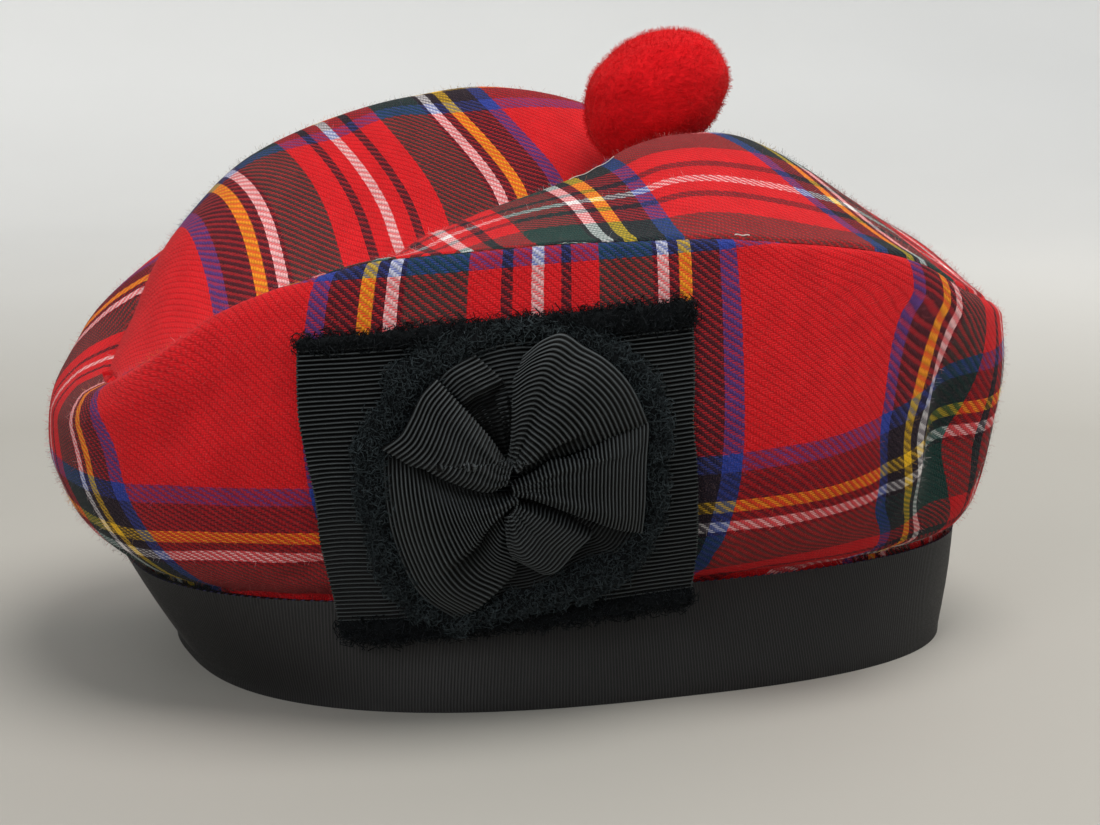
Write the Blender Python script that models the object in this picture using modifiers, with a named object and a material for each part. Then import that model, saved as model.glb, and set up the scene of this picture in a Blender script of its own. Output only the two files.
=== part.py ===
"""A tartan bonnet: a band, a bulging side panel, a creased top panel, a pom and a ribbon cockade.

The hat rests on its rim at z = 0, with the origin under the middle of its box. Its front is toward
-Y and the wearer's left, with the cockade, is toward +X. Sizes are in millimetres, measured from
the middle of the rim, and MM turns them into Blender's metres.
"""
from math import atan2, cos, degrees, exp, pi, radians, sin, sqrt, tan

import bmesh
import bpy
from mathutils import Matrix, Vector

MM = 0.001

# Driving sizes of the band, in millimetres
RIM_LENGTH = 192.0
RIM_WIDTH = 152.0
RIBBON_HEIGHT = 25.0
RIBBON_WALL = 1.2
BAND_TOP_LENGTH = 212.0
BAND_TOP_WIDTH = 140.0
BAND_TOP_SHIFT = -4.0
RIM_UPRIGHT = 0.08

# Driving sizes of the crown
CROWN_LENGTH = 237.0
CROWN_WIDTH = 180.0
CROWN_SHIFT = -8.5
SEAM_RISE = 81.5
RIDGE_RISE = 29.0
CLOTH_WALL = 2.0
HEM_DEPTH = 6.0
SEAM_EASE = 0.5
DENT_DEPTH = 6.0

# Driving sizes of the pom
POM_LENGTH = 42.0
POM_WIDTH = 38.0
POM_THICKNESS = 33.0
POM_LEAN = 25.0
POM_PLACE = 27.0
POM_LOCKS = 60
LOCK_NEAR = 0.97
LOCK_RISE = 0.07

# Driving sizes of the cockade's ribbon panel, which spans the side panel and the band. Its middle
# and the belly that it hangs from lie above the band by shares of SEAM_RISE, and its foot lies
# below the band's top edge by FOOT_DROP
PANEL_WIDTH = 89.0
PANEL_HEIGHT = 65.0
PANEL_WALL = 1.2
PANEL_PLACE = 62.0
PANEL_TILT = 4.0
PANEL_EASE = 4.0
PANEL_RISE = 0.368
BELLY_RISE = 0.454
FOOT_DROP = 7.0
FOOT_STANDOFF = 5.0
FOOT_CURVE = 1.5

# Driving sizes of the rosette and of the frayed edges
ROSETTE_REACH = 40.0
ROSETTE_WALL = 1.2
PETAL_WALL = 1.4
PETAL_PUFF = 6.0
ROSETTE_CENTRE = (1.0, 0.0)
FRAY_DEPTH = 4.0
FRAY_HEIGHT = 2.6
FRAY_PITCH = 2.4
FRAY_SEAT = 0.6

CLEARANCE = 0.3
OVAL_POWER = 2.6

# Fineness of the meshes, and the small steps that measure a surface's slope
RING_STEPS = 64
HALF_STEPS = RING_STEPS // 2
TIP_TURN = 2 * pi / RING_STEPS
PANEL_COLUMNS = 18
PANEL_ROWS = 16
PETAL_COLUMNS = 6
PETAL_ROWS = 6
BASE_SPOKES = 30
BASE_RINGS = 4
POM_SUBDIVISIONS = 4
TURN_STEP = 0.02
LEVEL_STEP = 1.0
HALVINGS = 24

RIBBON_BLACK = (0.015, 0.016, 0.02)

# The side panel, from the band's top edge to the seam: the height as a share of the local wall
# height, and how far out the wall stands at the front, back and sides, as a share of the way
# from the band's edge to the crown's widest oval
WALL_SECTIONS = (
    # height, front, back, side
    (0.00, 0.00, 0.00, 0.00),
    (0.06, 0.28, 0.18, 0.42),
    (0.18, 0.61, 0.36, 0.78),
    (0.36, 0.83, 0.55, 0.97),
    (0.55, 0.97, 0.79, 1.00),
    (0.77, 1.00, 1.00, 0.95),
    (0.93, 0.78, 0.97, 0.83),
    (1.00, 0.40, 0.50, 0.75),
)

# The seam's height along the hat, from the front tip (-1) to the back (1), as a share of SEAM_RISE
SEAM_HEIGHTS = (
    # place, height
    (-1.00, 0.59),
    (-0.95, 0.675),
    (-0.85, 0.82),
    (-0.75, 0.895),
    (-0.58, 0.965),
    (-0.20, 1.00),
    (0.00, 1.00),
    (0.25, 0.975),
    (0.45, 0.94),
    (0.58, 0.895),
    (0.72, 0.81),
    (0.90, 0.735),
    (1.00, 0.70),
)

# Cross-sections of the top panel, from front to back. Each has a near crest, a valley and a far
# ridge: where it lies across the panel, as a share of the half width, and how far it stands above
# the seam, as a share of RIDGE_RISE
TOP_SECTIONS = (
    # place, near_at, near_up, valley_at, valley_up, ridge_at, ridge_up
    (-1.00, 0.70, 0.00, 0.10, 0.00, -0.45, 0.00),
    (-0.85, 0.75, 0.00, 0.10, -0.05, -0.45, 0.06),
    (-0.76, 0.80, -0.03, 0.12, -0.18, -0.50, 0.13),
    (-0.64, 0.80, -0.04, 0.12, -0.28, -0.55, 0.33),
    (-0.52, 0.62, -0.03, 0.10, -0.38, -0.56, 0.57),
    (-0.41, 0.52, 0.00, 0.08, -0.38, -0.55, 0.72),
    (-0.20, 0.42, 0.18, 0.06, -0.28, -0.54, 0.91),
    (-0.04, 0.40, 0.38, 0.04, -0.07, -0.53, 0.99),
    (0.07, 0.38, 0.59, 0.02, 0.10, -0.52, 0.97),
    (0.20, 0.34, 0.71, 0.00, 0.24, -0.48, 0.90),
    (0.32, 0.30, 0.76, 0.00, 0.44, -0.42, 0.69),
    (0.44, 0.28, 0.67, 0.00, 0.58, -0.40, 0.56),
    (0.60, 0.25, 0.50, 0.00, 0.48, -0.40, 0.42),
    (0.80, 0.30, 0.41, 0.00, 0.41, -0.40, 0.35),
    (0.93, 0.30, 0.20, 0.00, 0.22, -0.40, 0.17),
    (1.00, 0.30, 0.00, 0.00, 0.00, -0.40, 0.00),
)

# Dents (negative) and swells of the side panel: azimuth from the front toward the wearer's left and
# its half width in degrees, height and half height as shares of the wall, depth of DENT_DEPTH.
# They fade out toward the hem and the seam, over about 1 / DENT_FADE of the wall
DENT_FADE = 8.0
WALL_DENTS = (
    # azimuth, spread, height, reach, depth
    (62.0, 34.0, 0.15, 0.22, -0.90),
    (112.0, 16.0, 0.33, 0.30, 0.80),
    (134.0, 7.0, 0.40, 0.28, -1.20),
    (28.0, 9.0, 0.70, 0.20, -0.30),
    (248.0, 18.0, 0.33, 0.30, 0.70),
    (218.0, 8.0, 0.40, 0.28, -0.70),
)

# Edge of the rosette's base, by angle from the back (+Y) toward the top in degrees, and its reach
# as a share of ROSETTE_REACH
BASE_EDGE = (
    # angle, reach
    (-36.0, 1.00),
    (-12.0, 0.93),
    (15.0, 0.93),
    (47.0, 0.96),
    (78.0, 0.80),
    (100.0, 0.79),
    (124.0, 0.91),
    (158.0, 0.87),
    (180.0, 0.84),
    (200.0, 0.84),
    (222.0, 0.93),
    (238.0, 0.91),
    (262.0, 0.79),
    (291.0, 0.77),
    (324.0, 1.00),
)

# The rosette's folded ribbon petals: the angles and reaches of each petal's two tip corners, with
# the reach as a share of the way to the frayed border, how far its outer edge bows out, where its
# root starts, and its rise over the base as a share of PETAL_PUFF
PETALS = (
    # name, first_angle, first_reach, last_angle, last_reach, bow, root, puff
    ("petal_back_low", -68.0, 0.74, -30.0, 0.64, 0.03, 0.14, 0.80),
    ("petal_back", -23.0, 0.86, 13.0, 0.81, -0.02, 0.14, 0.90),
    ("petal_back_high", 20.0, 0.91, 81.0, 0.95, -0.03, 0.12, 1.00),
    ("petal_top", 94.0, 0.92, 116.0, 0.93, 0.00, 0.42, 0.50),
    ("petal_front_high", 124.0, 0.86, 152.0, 0.87, 0.02, 0.14, 0.85),
    ("petal_front_low", 160.0, 0.85, 242.0, 0.95, -0.06, 0.12, 1.00),
)

# Height of a petal's fold along it, as a share of its rise: at its root and at its fullest, which
# lies a little short of the tip. Its crosswise form is a rounded arch of power PETAL_ROUND
PETAL_ROOT_RISE = 0.35
PETAL_FULL_RISE = 1.0
PETAL_LEAD = 0.1
PETAL_ROUND = 0.6

# Section of a frayed edge, round a lock: outward as a share of FRAY_DEPTH and up as a share of
# FRAY_HEIGHT. Between two locks the section shrinks to GAP_DEPTH and GAP_HEIGHT of its size
FRAY_SECTION = (
    # outward, up
    (0.00, 0.00),
    (0.80, 0.00),
    (1.00, 0.45),
    (0.60, 1.00),
    (0.15, 0.80),
)
GAP_DEPTH = 0.62
GAP_HEIGHT = 0.70

# Columns of the top panel's mesh, as shares between the named lines of each section
COLUMN_SHARES = (0.0, 0.35, 0.70)


def smooth_curve(rows, column, place):
    """Value of a table's column at a place, by a cubic that never overshoots its rows."""
    xs = [row[0] for row in rows]
    ys = [row[column] for row in rows]
    return monotone(xs, ys, place)


def monotone(xs, ys, x):
    """Monotone cubic interpolation through rising xs."""
    x = min(max(x, xs[0]), xs[-1])
    last = len(xs) - 1
    i = max(k for k in range(last) if xs[k] <= x)
    slopes = [(ys[k + 1] - ys[k]) / (xs[k + 1] - xs[k]) for k in range(last)]

    def tangent(k):
        if k in (0, last):
            return slopes[min(k, last - 1)]
        before, after = slopes[k - 1], slopes[k]
        if before * after <= 0.0:
            return 0.0
        return 2.0 * before * after / (before + after)

    width = xs[i + 1] - xs[i]
    t = (x - xs[i]) / width
    lift = ys[i + 1] - ys[i]
    start, end = tangent(i) * width, tangent(i + 1) * width
    return ys[i] + t * (start + t * ((3 * lift - 2 * start - end) + t * (start + end - 2 * lift)))


def oval(azimuth, front, back, side):
    """Point of a rounded oval at an azimuth from the front (-Y) toward the wearer's left (+X)."""
    along = front if cos(azimuth) > 0.0 else back
    spread = (abs(sin(azimuth)) / side) ** OVAL_POWER + (abs(cos(azimuth)) / along) ** OVAL_POWER
    radius = spread ** (-1.0 / OVAL_POWER)
    return Vector((radius * sin(azimuth), -radius * cos(azimuth)))


def ends(length, shift):
    """Reach of an oval to the front and to the back."""
    return length / 2 - shift, length / 2 + shift


def band_edge(inset=0.0):
    """Front, back and side reach of the band's top edge."""
    front, back = ends(BAND_TOP_LENGTH, BAND_TOP_SHIFT)
    return front - inset, back - inset, BAND_TOP_WIDTH / 2 - inset


def hem_inset():
    """How far inside the ribbon's outer face the cloth lies, measured level, where it flares most."""
    flare = atan2(band_edge()[0] - RIM_LENGTH / 2, RIBBON_HEIGHT * (1.0 - RIM_UPRIGHT))
    return RIBBON_WALL / cos(flare) + 2 * CLEARANCE


def wall_reach(front_share, back_share, side_share, inset=0.0):
    """Front, back and side reach of a level of the side panel."""
    band = band_edge(inset)
    crown = (*ends(CROWN_LENGTH, CROWN_SHIFT), CROWN_WIDTH / 2)
    shares = (front_share, back_share, side_share)
    return [low + (high - low) * share for low, high, share in zip(band, crown, shares)]


def seam_place(point):
    """Place along the seam, from -1 at its front tip to 1 at its back."""
    front, back, _ = wall_reach(*WALL_SECTIONS[-1][1:])
    return point.y / (front if point.y < 0.0 else back)


def seam_height(place):
    return RIBBON_HEIGHT + SEAM_RISE * smooth_curve(SEAM_HEIGHTS, 1, place)


def seam_point(azimuth):
    """Point of the seam between the side panel and the top panel."""
    flat = oval(azimuth, *wall_reach(*WALL_SECTIONS[-1][1:]))
    return Vector((flat.x, flat.y, seam_height(seam_place(flat))))


def dent(azimuth, height):
    """How far the wall stands out of its plain form, in millimetres."""
    total = 0.0
    for at, spread, level, reach, depth in WALL_DENTS:
        turn = (azimuth - radians(at) + pi) % (2 * pi) - pi
        fade = (turn / radians(spread)) ** 2 + ((height - level) / reach) ** 2
        total += DENT_DEPTH * depth * exp(-fade)
    return total * min(1.0, DENT_FADE * height * (1.0 - height))


def wall_base():
    """Height at which the side panel comes out over the band's top edge."""
    return RIBBON_HEIGHT + RIBBON_WALL / 2 + CLEARANCE


def wall_point(azimuth, height):
    """Point of the side panel's outer face at a share of its height."""
    reach = [smooth_curve(WALL_SECTIONS, column, height) for column in (1, 2, 3)]
    flat = oval(azimuth, *wall_reach(*reach, inset=hem_inset() * (1.0 - height)))
    flat += flat.normalized() * dent(azimuth, height)
    low, top = wall_base(), seam_point(azimuth).z
    return Vector((flat.x, flat.y, low + (top - low) * height))


def top_point(azimuth, column):
    """Point of the top panel between the seam at an azimuth and its mirror place, column -1 to 1."""
    near, far = seam_point(azimuth), seam_point(-azimuth)
    point = near.lerp(far, (1.0 - column) / 2)
    place = seam_place(near)
    lines = [smooth_curve(TOP_SECTIONS, k, place) for k in range(1, 7)]
    xs = [-1.0, lines[4], lines[2], lines[0], 1.0]
    ys = [0.0, lines[5], lines[3], lines[1], 0.0]
    point.z += RIDGE_RISE * monotone(xs, ys, column)
    return point


def top_columns(azimuth):
    """Columns of the top panel's mesh, dense between the far seam, ridge, valley, crest and seam."""
    place = seam_place(seam_point(azimuth))
    stops = [-1.0] + [smooth_curve(TOP_SECTIONS, k, place) for k in (5, 3, 1)] + [1.0]
    columns = []
    for start, end in zip(stops, stops[1:]):
        columns += [start + (end - start) * share for share in COLUMN_SHARES]
    return columns + [1.0]


def outside(azimuth, level):
    """Point of the hat's outer face at a height: the band's ribbon, or the side panel above it."""
    if level <= RIBBON_HEIGHT:
        return band_point(azimuth, level / RIBBON_HEIGHT)
    low, top = wall_base(), seam_point(azimuth).z
    return wall_point(azimuth, max(0.0, (level - low) / (top - low)))


def band_point(azimuth, share, inset=0.0):
    """Point of the band at a share of its height: upright at its rim, then flared."""
    rim = (RIM_LENGTH / 2, RIM_LENGTH / 2, RIM_WIDTH / 2)
    flare = max(0.0, share - RIM_UPRIGHT) / (1.0 - RIM_UPRIGHT)
    reach = [low + (high - low) * flare - inset for low, high in zip(rim, band_edge())]
    return Vector((*oval(azimuth, *reach), RIBBON_HEIGHT * share))


def panel_level():
    """Height of the cockade's middle."""
    return RIBBON_HEIGHT + PANEL_RISE * SEAM_RISE


def panel_turn(along):
    """Azimuth at a distance along the hat's side, measured from the cockade's middle."""
    step = TURN_STEP if along > 0.0 else -TURN_STEP
    azimuth, left = radians(PANEL_PLACE), abs(along)
    point = outside(azimuth, panel_level())
    while True:
        after = outside(azimuth + step, panel_level())
        length = (after.xy - point.xy).length
        if length >= left:
            return azimuth + step * left / length
        azimuth, point, left = azimuth + step, after, left - length


def cockade_point(along, up, out=0.0):
    """Point over the side of the hat, from the cockade's middle toward the back, up and outward."""
    azimuth = panel_turn(along)
    level = panel_level() + up + along * tan(radians(PANEL_TILT))
    here = panel_face(azimuth, level)
    side = panel_face(azimuth + TURN_STEP, level) - here
    rise = panel_face(azimuth, level + LEVEL_STEP) - here
    normal = side.cross(rise).normalized()
    return here + normal * (out + CLEARANCE)


def panel_face(azimuth, level):
    """Point of the face that the cockade lies on: the side panel's belly, then straight down."""
    def eased(height):
        spots = [outside(azimuth, height + PANEL_EASE * k) for k in (-1, 0, 1)]
        return (spots[0] + spots[1] + spots[2]) / 3

    belly_level = RIBBON_HEIGHT + BELLY_RISE * SEAM_RISE
    foot_level = RIBBON_HEIGHT - FOOT_DROP
    if level >= belly_level:
        return eased(level)
    belly, foot = eased(belly_level), band_point(azimuth, foot_level / RIBBON_HEIGHT)
    foot += Vector((foot.x, foot.y, 0.0)).normalized() * FOOT_STANDOFF
    share = (belly_level - level) / (belly_level - foot_level)
    return belly.lerp(foot, share ** FOOT_CURVE).xy.to_3d() + Vector((0.0, 0.0, level))


def new_object(name, mesh, colour, roughness):
    """Adds a named object with its own material."""
    material = bpy.data.materials.new(name)
    material.use_nodes = True
    shader = material.node_tree.nodes["Principled BSDF"]
    shader.inputs["Base Color"].default_value = (*colour, 1.0)
    shader.inputs["Roughness"].default_value = roughness
    shader.inputs["Metallic"].default_value = 0.0
    mesh.materials.append(material)
    mesh.shade_smooth()
    obj = bpy.data.objects.new(name, mesh)
    bpy.data.collections["bonnet"].objects.link(obj)
    return obj


def surface(name, rows, closed):
    """Mesh of an open surface through rows of points. A closed one joins each row's two ends."""
    work = bmesh.new()
    grid = [[work.verts.new(point * MM) for point in row] for row in rows]
    count = len(grid[0])
    for low, high in zip(grid, grid[1:]):
        for k in range(count if closed else count - 1):
            after = (k + 1) % count
            work.faces.new((low[k], low[after], high[after], high[k]))
    mesh = bpy.data.meshes.new(name)
    work.to_mesh(mesh)
    work.free()
    return mesh


def thicken(obj, wall):
    """Gives an open surface its cloth thickness on its inner side."""
    solid = obj.modifiers.new("wall", "SOLIDIFY")
    solid.thickness = wall * MM
    solid.offset = -1.0
    solid.use_even_offset = True
    solid.use_quality_normals = True


def azimuths():
    return [2 * pi * k / RING_STEPS for k in range(RING_STEPS)]


def make_headband():
    """The grosgrain ribbon round the head, wider at its top than at its rim."""
    levels = (0.0, RIM_UPRIGHT, 1.0)
    rows = []
    for level in levels:
        rows.append([band_point(a, level) for a in azimuths()])
    obj = new_object("headband", surface("headband", rows, True), (0.02, 0.018, 0.02), 0.6)
    thicken(obj, RIBBON_WALL)


def make_side_panel():
    """The bulging tartan wall, from its hem inside the band to the seam."""
    hem_level = 1.0 - HEM_DEPTH / RIBBON_HEIGHT
    rows = [[band_point(a, hem_level, hem_inset()) for a in azimuths()]]
    for height, *_ in WALL_SECTIONS[:-1]:
        rows.append([wall_point(a, height) for a in azimuths()])
    rows.append([seam_setback(a, rows[-1][k]) for k, a in enumerate(azimuths())])
    obj = new_object("side_panel", surface("side_panel", rows, True), (0.55, 0.02, 0.03), 0.9)
    thicken(obj, CLOTH_WALL)


def seam_setback(azimuth, below):
    """Top of the side panel's wall, short of the seam by what the top panel's thickness needs."""
    seam = seam_point(azimuth)
    rise = (seam - below).normalized()
    along = (seam_point(azimuth + TURN_STEP) - seam_point(azimuth - TURN_STEP)).normalized()
    bend = along.cross(rise).angle(along.cross(top_inward(azimuth)))
    setback = CLEARANCE + SEAM_EASE + CLOTH_WALL * tan(bend / 2)
    return seam - rise * setback / sin(rise.angle(along))


def top_inward(azimuth):
    """Direction in which the top panel's first facet leaves the seam at an azimuth."""
    near = azimuth <= pi
    turn = min(max(azimuth if near else 2 * pi - azimuth, TIP_TURN), pi - TIP_TURN)
    if abs(sin(azimuth)) < sin(TIP_TURN / 2):
        column = 0.0
    else:
        column = top_columns(turn)[-2 if near else 1]
    return (top_point(turn, column) - seam_point(azimuth)).normalized()


def make_top_panel():
    """The oval top panel, creased in a valley in front of the pom."""
    work = bmesh.new()
    tips = [work.verts.new(seam_point(a) * MM) for a in (0.0, pi)]
    grid = []
    for k in range(1, HALF_STEPS):
        azimuth = 2 * pi * k / RING_STEPS
        grid.append([work.verts.new(top_point(azimuth, c) * MM) for c in top_columns(azimuth)])
    for low, high in zip(grid, grid[1:]):
        for k in range(len(low) - 1):
            work.faces.new((low[k], low[k + 1], high[k + 1], high[k]))
    for k in range(len(grid[0]) - 1):
        work.faces.new((tips[0], grid[0][k + 1], grid[0][k]))
        work.faces.new((tips[1], grid[-1][k], grid[-1][k + 1]))
    mesh = bpy.data.meshes.new("top_panel")
    work.to_mesh(mesh)
    work.free()
    obj = new_object("top_panel", mesh, (0.62, 0.03, 0.04), 0.9)
    thicken(obj, CLOTH_WALL)


def top_height(x, y):
    """Height of the top panel's outer face over a place."""
    low, high = 0.0, pi
    for _ in range(HALVINGS):
        middle = (low + high) / 2
        if seam_point(middle).y < y:
            low = middle
        else:
            high = middle
    return top_point(low, x / seam_point(low).x).z


def make_cockade_panel():
    """The wide ribbon that backs the rosette, laid over the side panel and the band."""
    places = [PANEL_WIDTH * (j / PANEL_COLUMNS - 0.5) for j in range(PANEL_COLUMNS + 1)]
    rows = []
    for k in range(PANEL_ROWS + 1):
        up = PANEL_HEIGHT * (k / PANEL_ROWS - 0.5)
        rows.append([cockade_point(along, up, PANEL_WALL) for along in places])
    mesh = surface("cockade_panel", rows, False)
    thicken(new_object("cockade_panel", mesh, RIBBON_BLACK, 0.7), PANEL_WALL)


def make_petal(name, first_angle, first_reach, last_angle, last_reach, bow, root, puff):
    """One folded ribbon petal, pinched at its root and puffed in its middle."""
    rows = []
    for k in range(PETAL_ROWS + 1):
        out = k / PETAL_ROWS
        swell = sin(pi * min(1.0, out + PETAL_LEAD))
        fold = PETAL_ROOT_RISE + (PETAL_FULL_RISE - PETAL_ROOT_RISE) * swell
        row = []
        for j in range(PETAL_COLUMNS + 1):
            turn = 1.0 - j / PETAL_COLUMNS
            arch = 4.0 * turn * (1.0 - turn)
            angle = radians(first_angle + (last_angle - first_angle) * turn)
            tip = first_reach + (last_reach - first_reach) * turn + bow * arch
            reach = petal_room(angle) * (root + (tip - root) * out)
            height = petal_base() + PETAL_PUFF * puff * arch ** PETAL_ROUND * fold
            row.append(cockade_point(*polar(angle, reach), height))
        rows.append(row)
    thicken(new_object(name, surface(name, rows, False), RIBBON_BLACK, 0.7), PETAL_WALL)


def polar(angle, reach):
    """Place on the cockade at an angle and a distance from the rosette's middle."""
    return ROSETTE_CENTRE[0] + reach * cos(angle), ROSETTE_CENTRE[1] + reach * sin(angle)


def rosette_top():
    """Height of the rosette base's outer face over the face that the cockade lies on."""
    return PANEL_WALL + ROSETTE_WALL + CLEARANCE


def petal_base():
    """Height of a petal's outer face at its edges, over the face that the cockade lies on."""
    return rosette_top() + PETAL_WALL + CLEARANCE


def petal_room(angle):
    """Distance from the rosette's middle to its frayed border, at an angle in radians."""
    return base_reach(angle) - FRAY_SEAT * FRAY_DEPTH - CLEARANCE


def base_reach(angle):
    """Reach of the rosette's base at an angle in radians."""
    first = BASE_EDGE[0][0]
    turn = (degrees(angle) - first) % 360.0 + first
    return ROSETTE_REACH * smooth_curve(BASE_EDGE, 1, turn)


def make_rosette_base():
    """The ribbon disc under the petals, with four soft corners."""
    work = bmesh.new()
    height = rosette_top()
    middle = work.verts.new(cockade_point(*ROSETTE_CENTRE, height) * MM)
    angles = [2 * pi * k / BASE_SPOKES for k in range(BASE_SPOKES)]
    grid = []
    for ring in range(1, BASE_RINGS + 1):
        places = [polar(a, base_reach(a) * ring / BASE_RINGS) for a in angles]
        grid.append([work.verts.new(cockade_point(*place, height) * MM) for place in places])
    for k in range(BASE_SPOKES):
        after = (k + 1) % BASE_SPOKES
        work.faces.new((middle, grid[0][k], grid[0][after]))
        for low, high in zip(grid, grid[1:]):
            work.faces.new((low[k], high[k], high[after], low[after]))
    mesh = bpy.data.meshes.new("rosette_base")
    work.to_mesh(mesh)
    work.free()
    thicken(new_object("rosette_base", mesh, RIBBON_BLACK, 0.75), ROSETTE_WALL)


def make_fray(name, path, outward, height, closed):
    """Frayed ribbon edge: a backing with a lock of threads at every other section, as one body."""
    work = bmesh.new()
    rings = []
    for k, (along, up) in enumerate(path):
        reach = FRAY_DEPTH * (1.0 if k % 2 else GAP_DEPTH)
        thick = FRAY_HEIGHT * (1.0 if k % 2 else GAP_HEIGHT)
        away = outward(along, up)
        ring = []
        for depth, rise in FRAY_SECTION:
            place = (along + away[0] * reach * depth, up + away[1] * reach * depth)
            ring.append(work.verts.new(cockade_point(*place, height + thick * rise) * MM))
        rings.append(ring)
    count = len(rings)
    for k in range(count if closed else count - 1):
        low, high = rings[k], rings[(k + 1) % count]
        for j in range(len(low)):
            after = (j + 1) % len(low)
            work.faces.new((low[j], low[after], high[after], high[j]))
    if not closed:
        work.faces.new(rings[0])
        work.faces.new(reversed(rings[-1]))
    bmesh.ops.recalc_face_normals(work, faces=work.faces)
    mesh = bpy.data.meshes.new(name)
    work.to_mesh(mesh)
    work.free()
    new_object(name, mesh, (0.01, 0.011, 0.014), 0.95)


def make_frays():
    """The frayed edges along the panel's top and bottom and round the rosette's base."""
    steps = int(PANEL_WIDTH / FRAY_PITCH) * 2
    edge = PANEL_HEIGHT / 2 + 2 * CLEARANCE
    for name, side in (("panel_fray_top", 1.0), ("panel_fray_bottom", -1.0)):
        path = [(PANEL_WIDTH * (k / steps - 0.5), side * edge) for k in range(steps + 1)]
        make_fray(name, path, lambda along, up: (0.0, side), CLEARANCE, False)
    mean_reach = ROSETTE_REACH * sum(row[1] for row in BASE_EDGE) / len(BASE_EDGE)
    steps = int(pi * mean_reach / FRAY_PITCH) * 2
    angles = [2 * pi * k / steps for k in range(steps)]
    path = [polar(a, base_reach(a) - FRAY_SEAT * FRAY_DEPTH) for a in angles]

    def from_middle(along, up):
        away = Vector((along - ROSETTE_CENTRE[0], up - ROSETTE_CENTRE[1])).normalized()
        return away.x, away.y

    make_fray("rosette_fray", path, from_middle, rosette_top() + CLEARANCE, True)


def make_pom():
    """The wool pom, a leaning ball of short locks fused to its core."""
    work = bmesh.new()
    bmesh.ops.create_icosphere(work, subdivisions=POM_SUBDIVISIONS, radius=1.0)
    golden = pi * (3.0 - sqrt(5.0))
    locks = []
    for k in range(POM_LOCKS):
        level = 1.0 - 2.0 * (k + 0.5) / POM_LOCKS
        ring = sqrt(1.0 - level * level)
        locks.append(Vector((ring * cos(golden * k), ring * sin(golden * k), level)))
    lean = Matrix.Rotation(radians(POM_LEAN), 4, "X")
    core = Matrix.Diagonal((POM_WIDTH / 2, POM_LENGTH / 2, POM_THICKNESS / 2, 1.0))
    gaps = []
    for vert in work.verts:
        direction = vert.co.normalized()
        near = max(direction.dot(lock) for lock in locks)
        swell = 1.0 + LOCK_RISE * max(0.0, near - LOCK_NEAR) / (1.0 - LOCK_NEAR)
        vert.co = lean @ core @ (direction * swell) + Vector((0.0, POM_PLACE, 0.0))
        gaps.append(vert.co.z - top_height(vert.co.x, vert.co.y))
    for vert in work.verts:
        vert.co = (vert.co + Vector((0.0, 0.0, CLEARANCE - min(gaps)))) * MM
    mesh = bpy.data.meshes.new("pom")
    work.to_mesh(mesh)
    work.free()
    new_object("pom", mesh, (0.6, 0.01, 0.015), 0.95)


def clear_scene():
    for obj in list(bpy.data.objects):
        bpy.data.objects.remove(obj, do_unlink=True)
    collection = bpy.data.collections.new("bonnet")
    bpy.context.scene.collection.children.link(collection)


def stand_on_origin():
    """Moves every mesh so that the origin is under the middle of the whole hat's box."""
    bpy.context.view_layer.update()
    depsgraph = bpy.context.evaluated_depsgraph_get()
    pieces = bpy.data.collections["bonnet"].objects
    corners = [Vector(corner) for piece in pieces for corner in piece.evaluated_get(depsgraph).bound_box]
    lows = [min(corner[axis] for corner in corners) for axis in range(3)]
    highs = [max(corner[axis] for corner in corners) for axis in range(3)]
    middle = (Vector(lows) + Vector(highs)) / 2
    for piece in pieces:
        piece.data.transform(Matrix.Translation((-middle.x, -middle.y, -lows[2])))


def main():
    clear_scene()
    make_headband()
    make_side_panel()
    make_top_panel()
    make_cockade_panel()
    make_rosette_base()
    for petal in PETALS:
        make_petal(*petal)
    make_frays()
    make_pom()
    stand_on_origin()


main()
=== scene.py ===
"""A tartan bonnet with a wool pom and a ribbon cockade, dressed over its solid model.

The hat's front is toward -Y and its left side, with the cockade, is toward +X. Shapes are worked out
in millimetres from the middle of the rim, as the solid model's are, and placed() brings them into the
frame, in metres.
"""
from math import cos, pi, radians, sin, tan

import bmesh
import bpy
import numpy as np
from bpy.props import FloatProperty, FloatVectorProperty, IntProperty, PointerProperty
from mathutils import Matrix, Vector, noise
from mathutils.kdtree import KDTree


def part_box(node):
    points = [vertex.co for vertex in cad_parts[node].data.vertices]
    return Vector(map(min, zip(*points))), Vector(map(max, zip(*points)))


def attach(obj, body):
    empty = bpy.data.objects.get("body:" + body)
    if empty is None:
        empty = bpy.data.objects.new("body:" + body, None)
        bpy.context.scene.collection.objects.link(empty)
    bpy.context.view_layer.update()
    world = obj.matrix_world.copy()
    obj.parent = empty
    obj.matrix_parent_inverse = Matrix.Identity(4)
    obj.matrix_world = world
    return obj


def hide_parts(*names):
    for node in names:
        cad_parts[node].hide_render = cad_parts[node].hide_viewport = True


bl_info = {
    "name": "Tartan bonnet",
    "version": (1, 0, 0),
    "blender": (4, 5, 0),
    "location": "View3D > Sidebar > Bonnet",
    "description": "Makes a tartan bonnet with a pom and a ribbon cockade",
    "category": "Object",
}

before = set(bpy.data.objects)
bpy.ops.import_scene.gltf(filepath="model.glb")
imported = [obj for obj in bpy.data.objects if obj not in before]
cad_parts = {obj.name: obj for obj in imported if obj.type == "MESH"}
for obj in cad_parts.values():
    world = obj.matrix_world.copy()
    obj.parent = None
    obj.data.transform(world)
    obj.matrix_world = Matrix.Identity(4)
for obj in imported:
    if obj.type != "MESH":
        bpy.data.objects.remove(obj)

MM = 0.001

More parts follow.
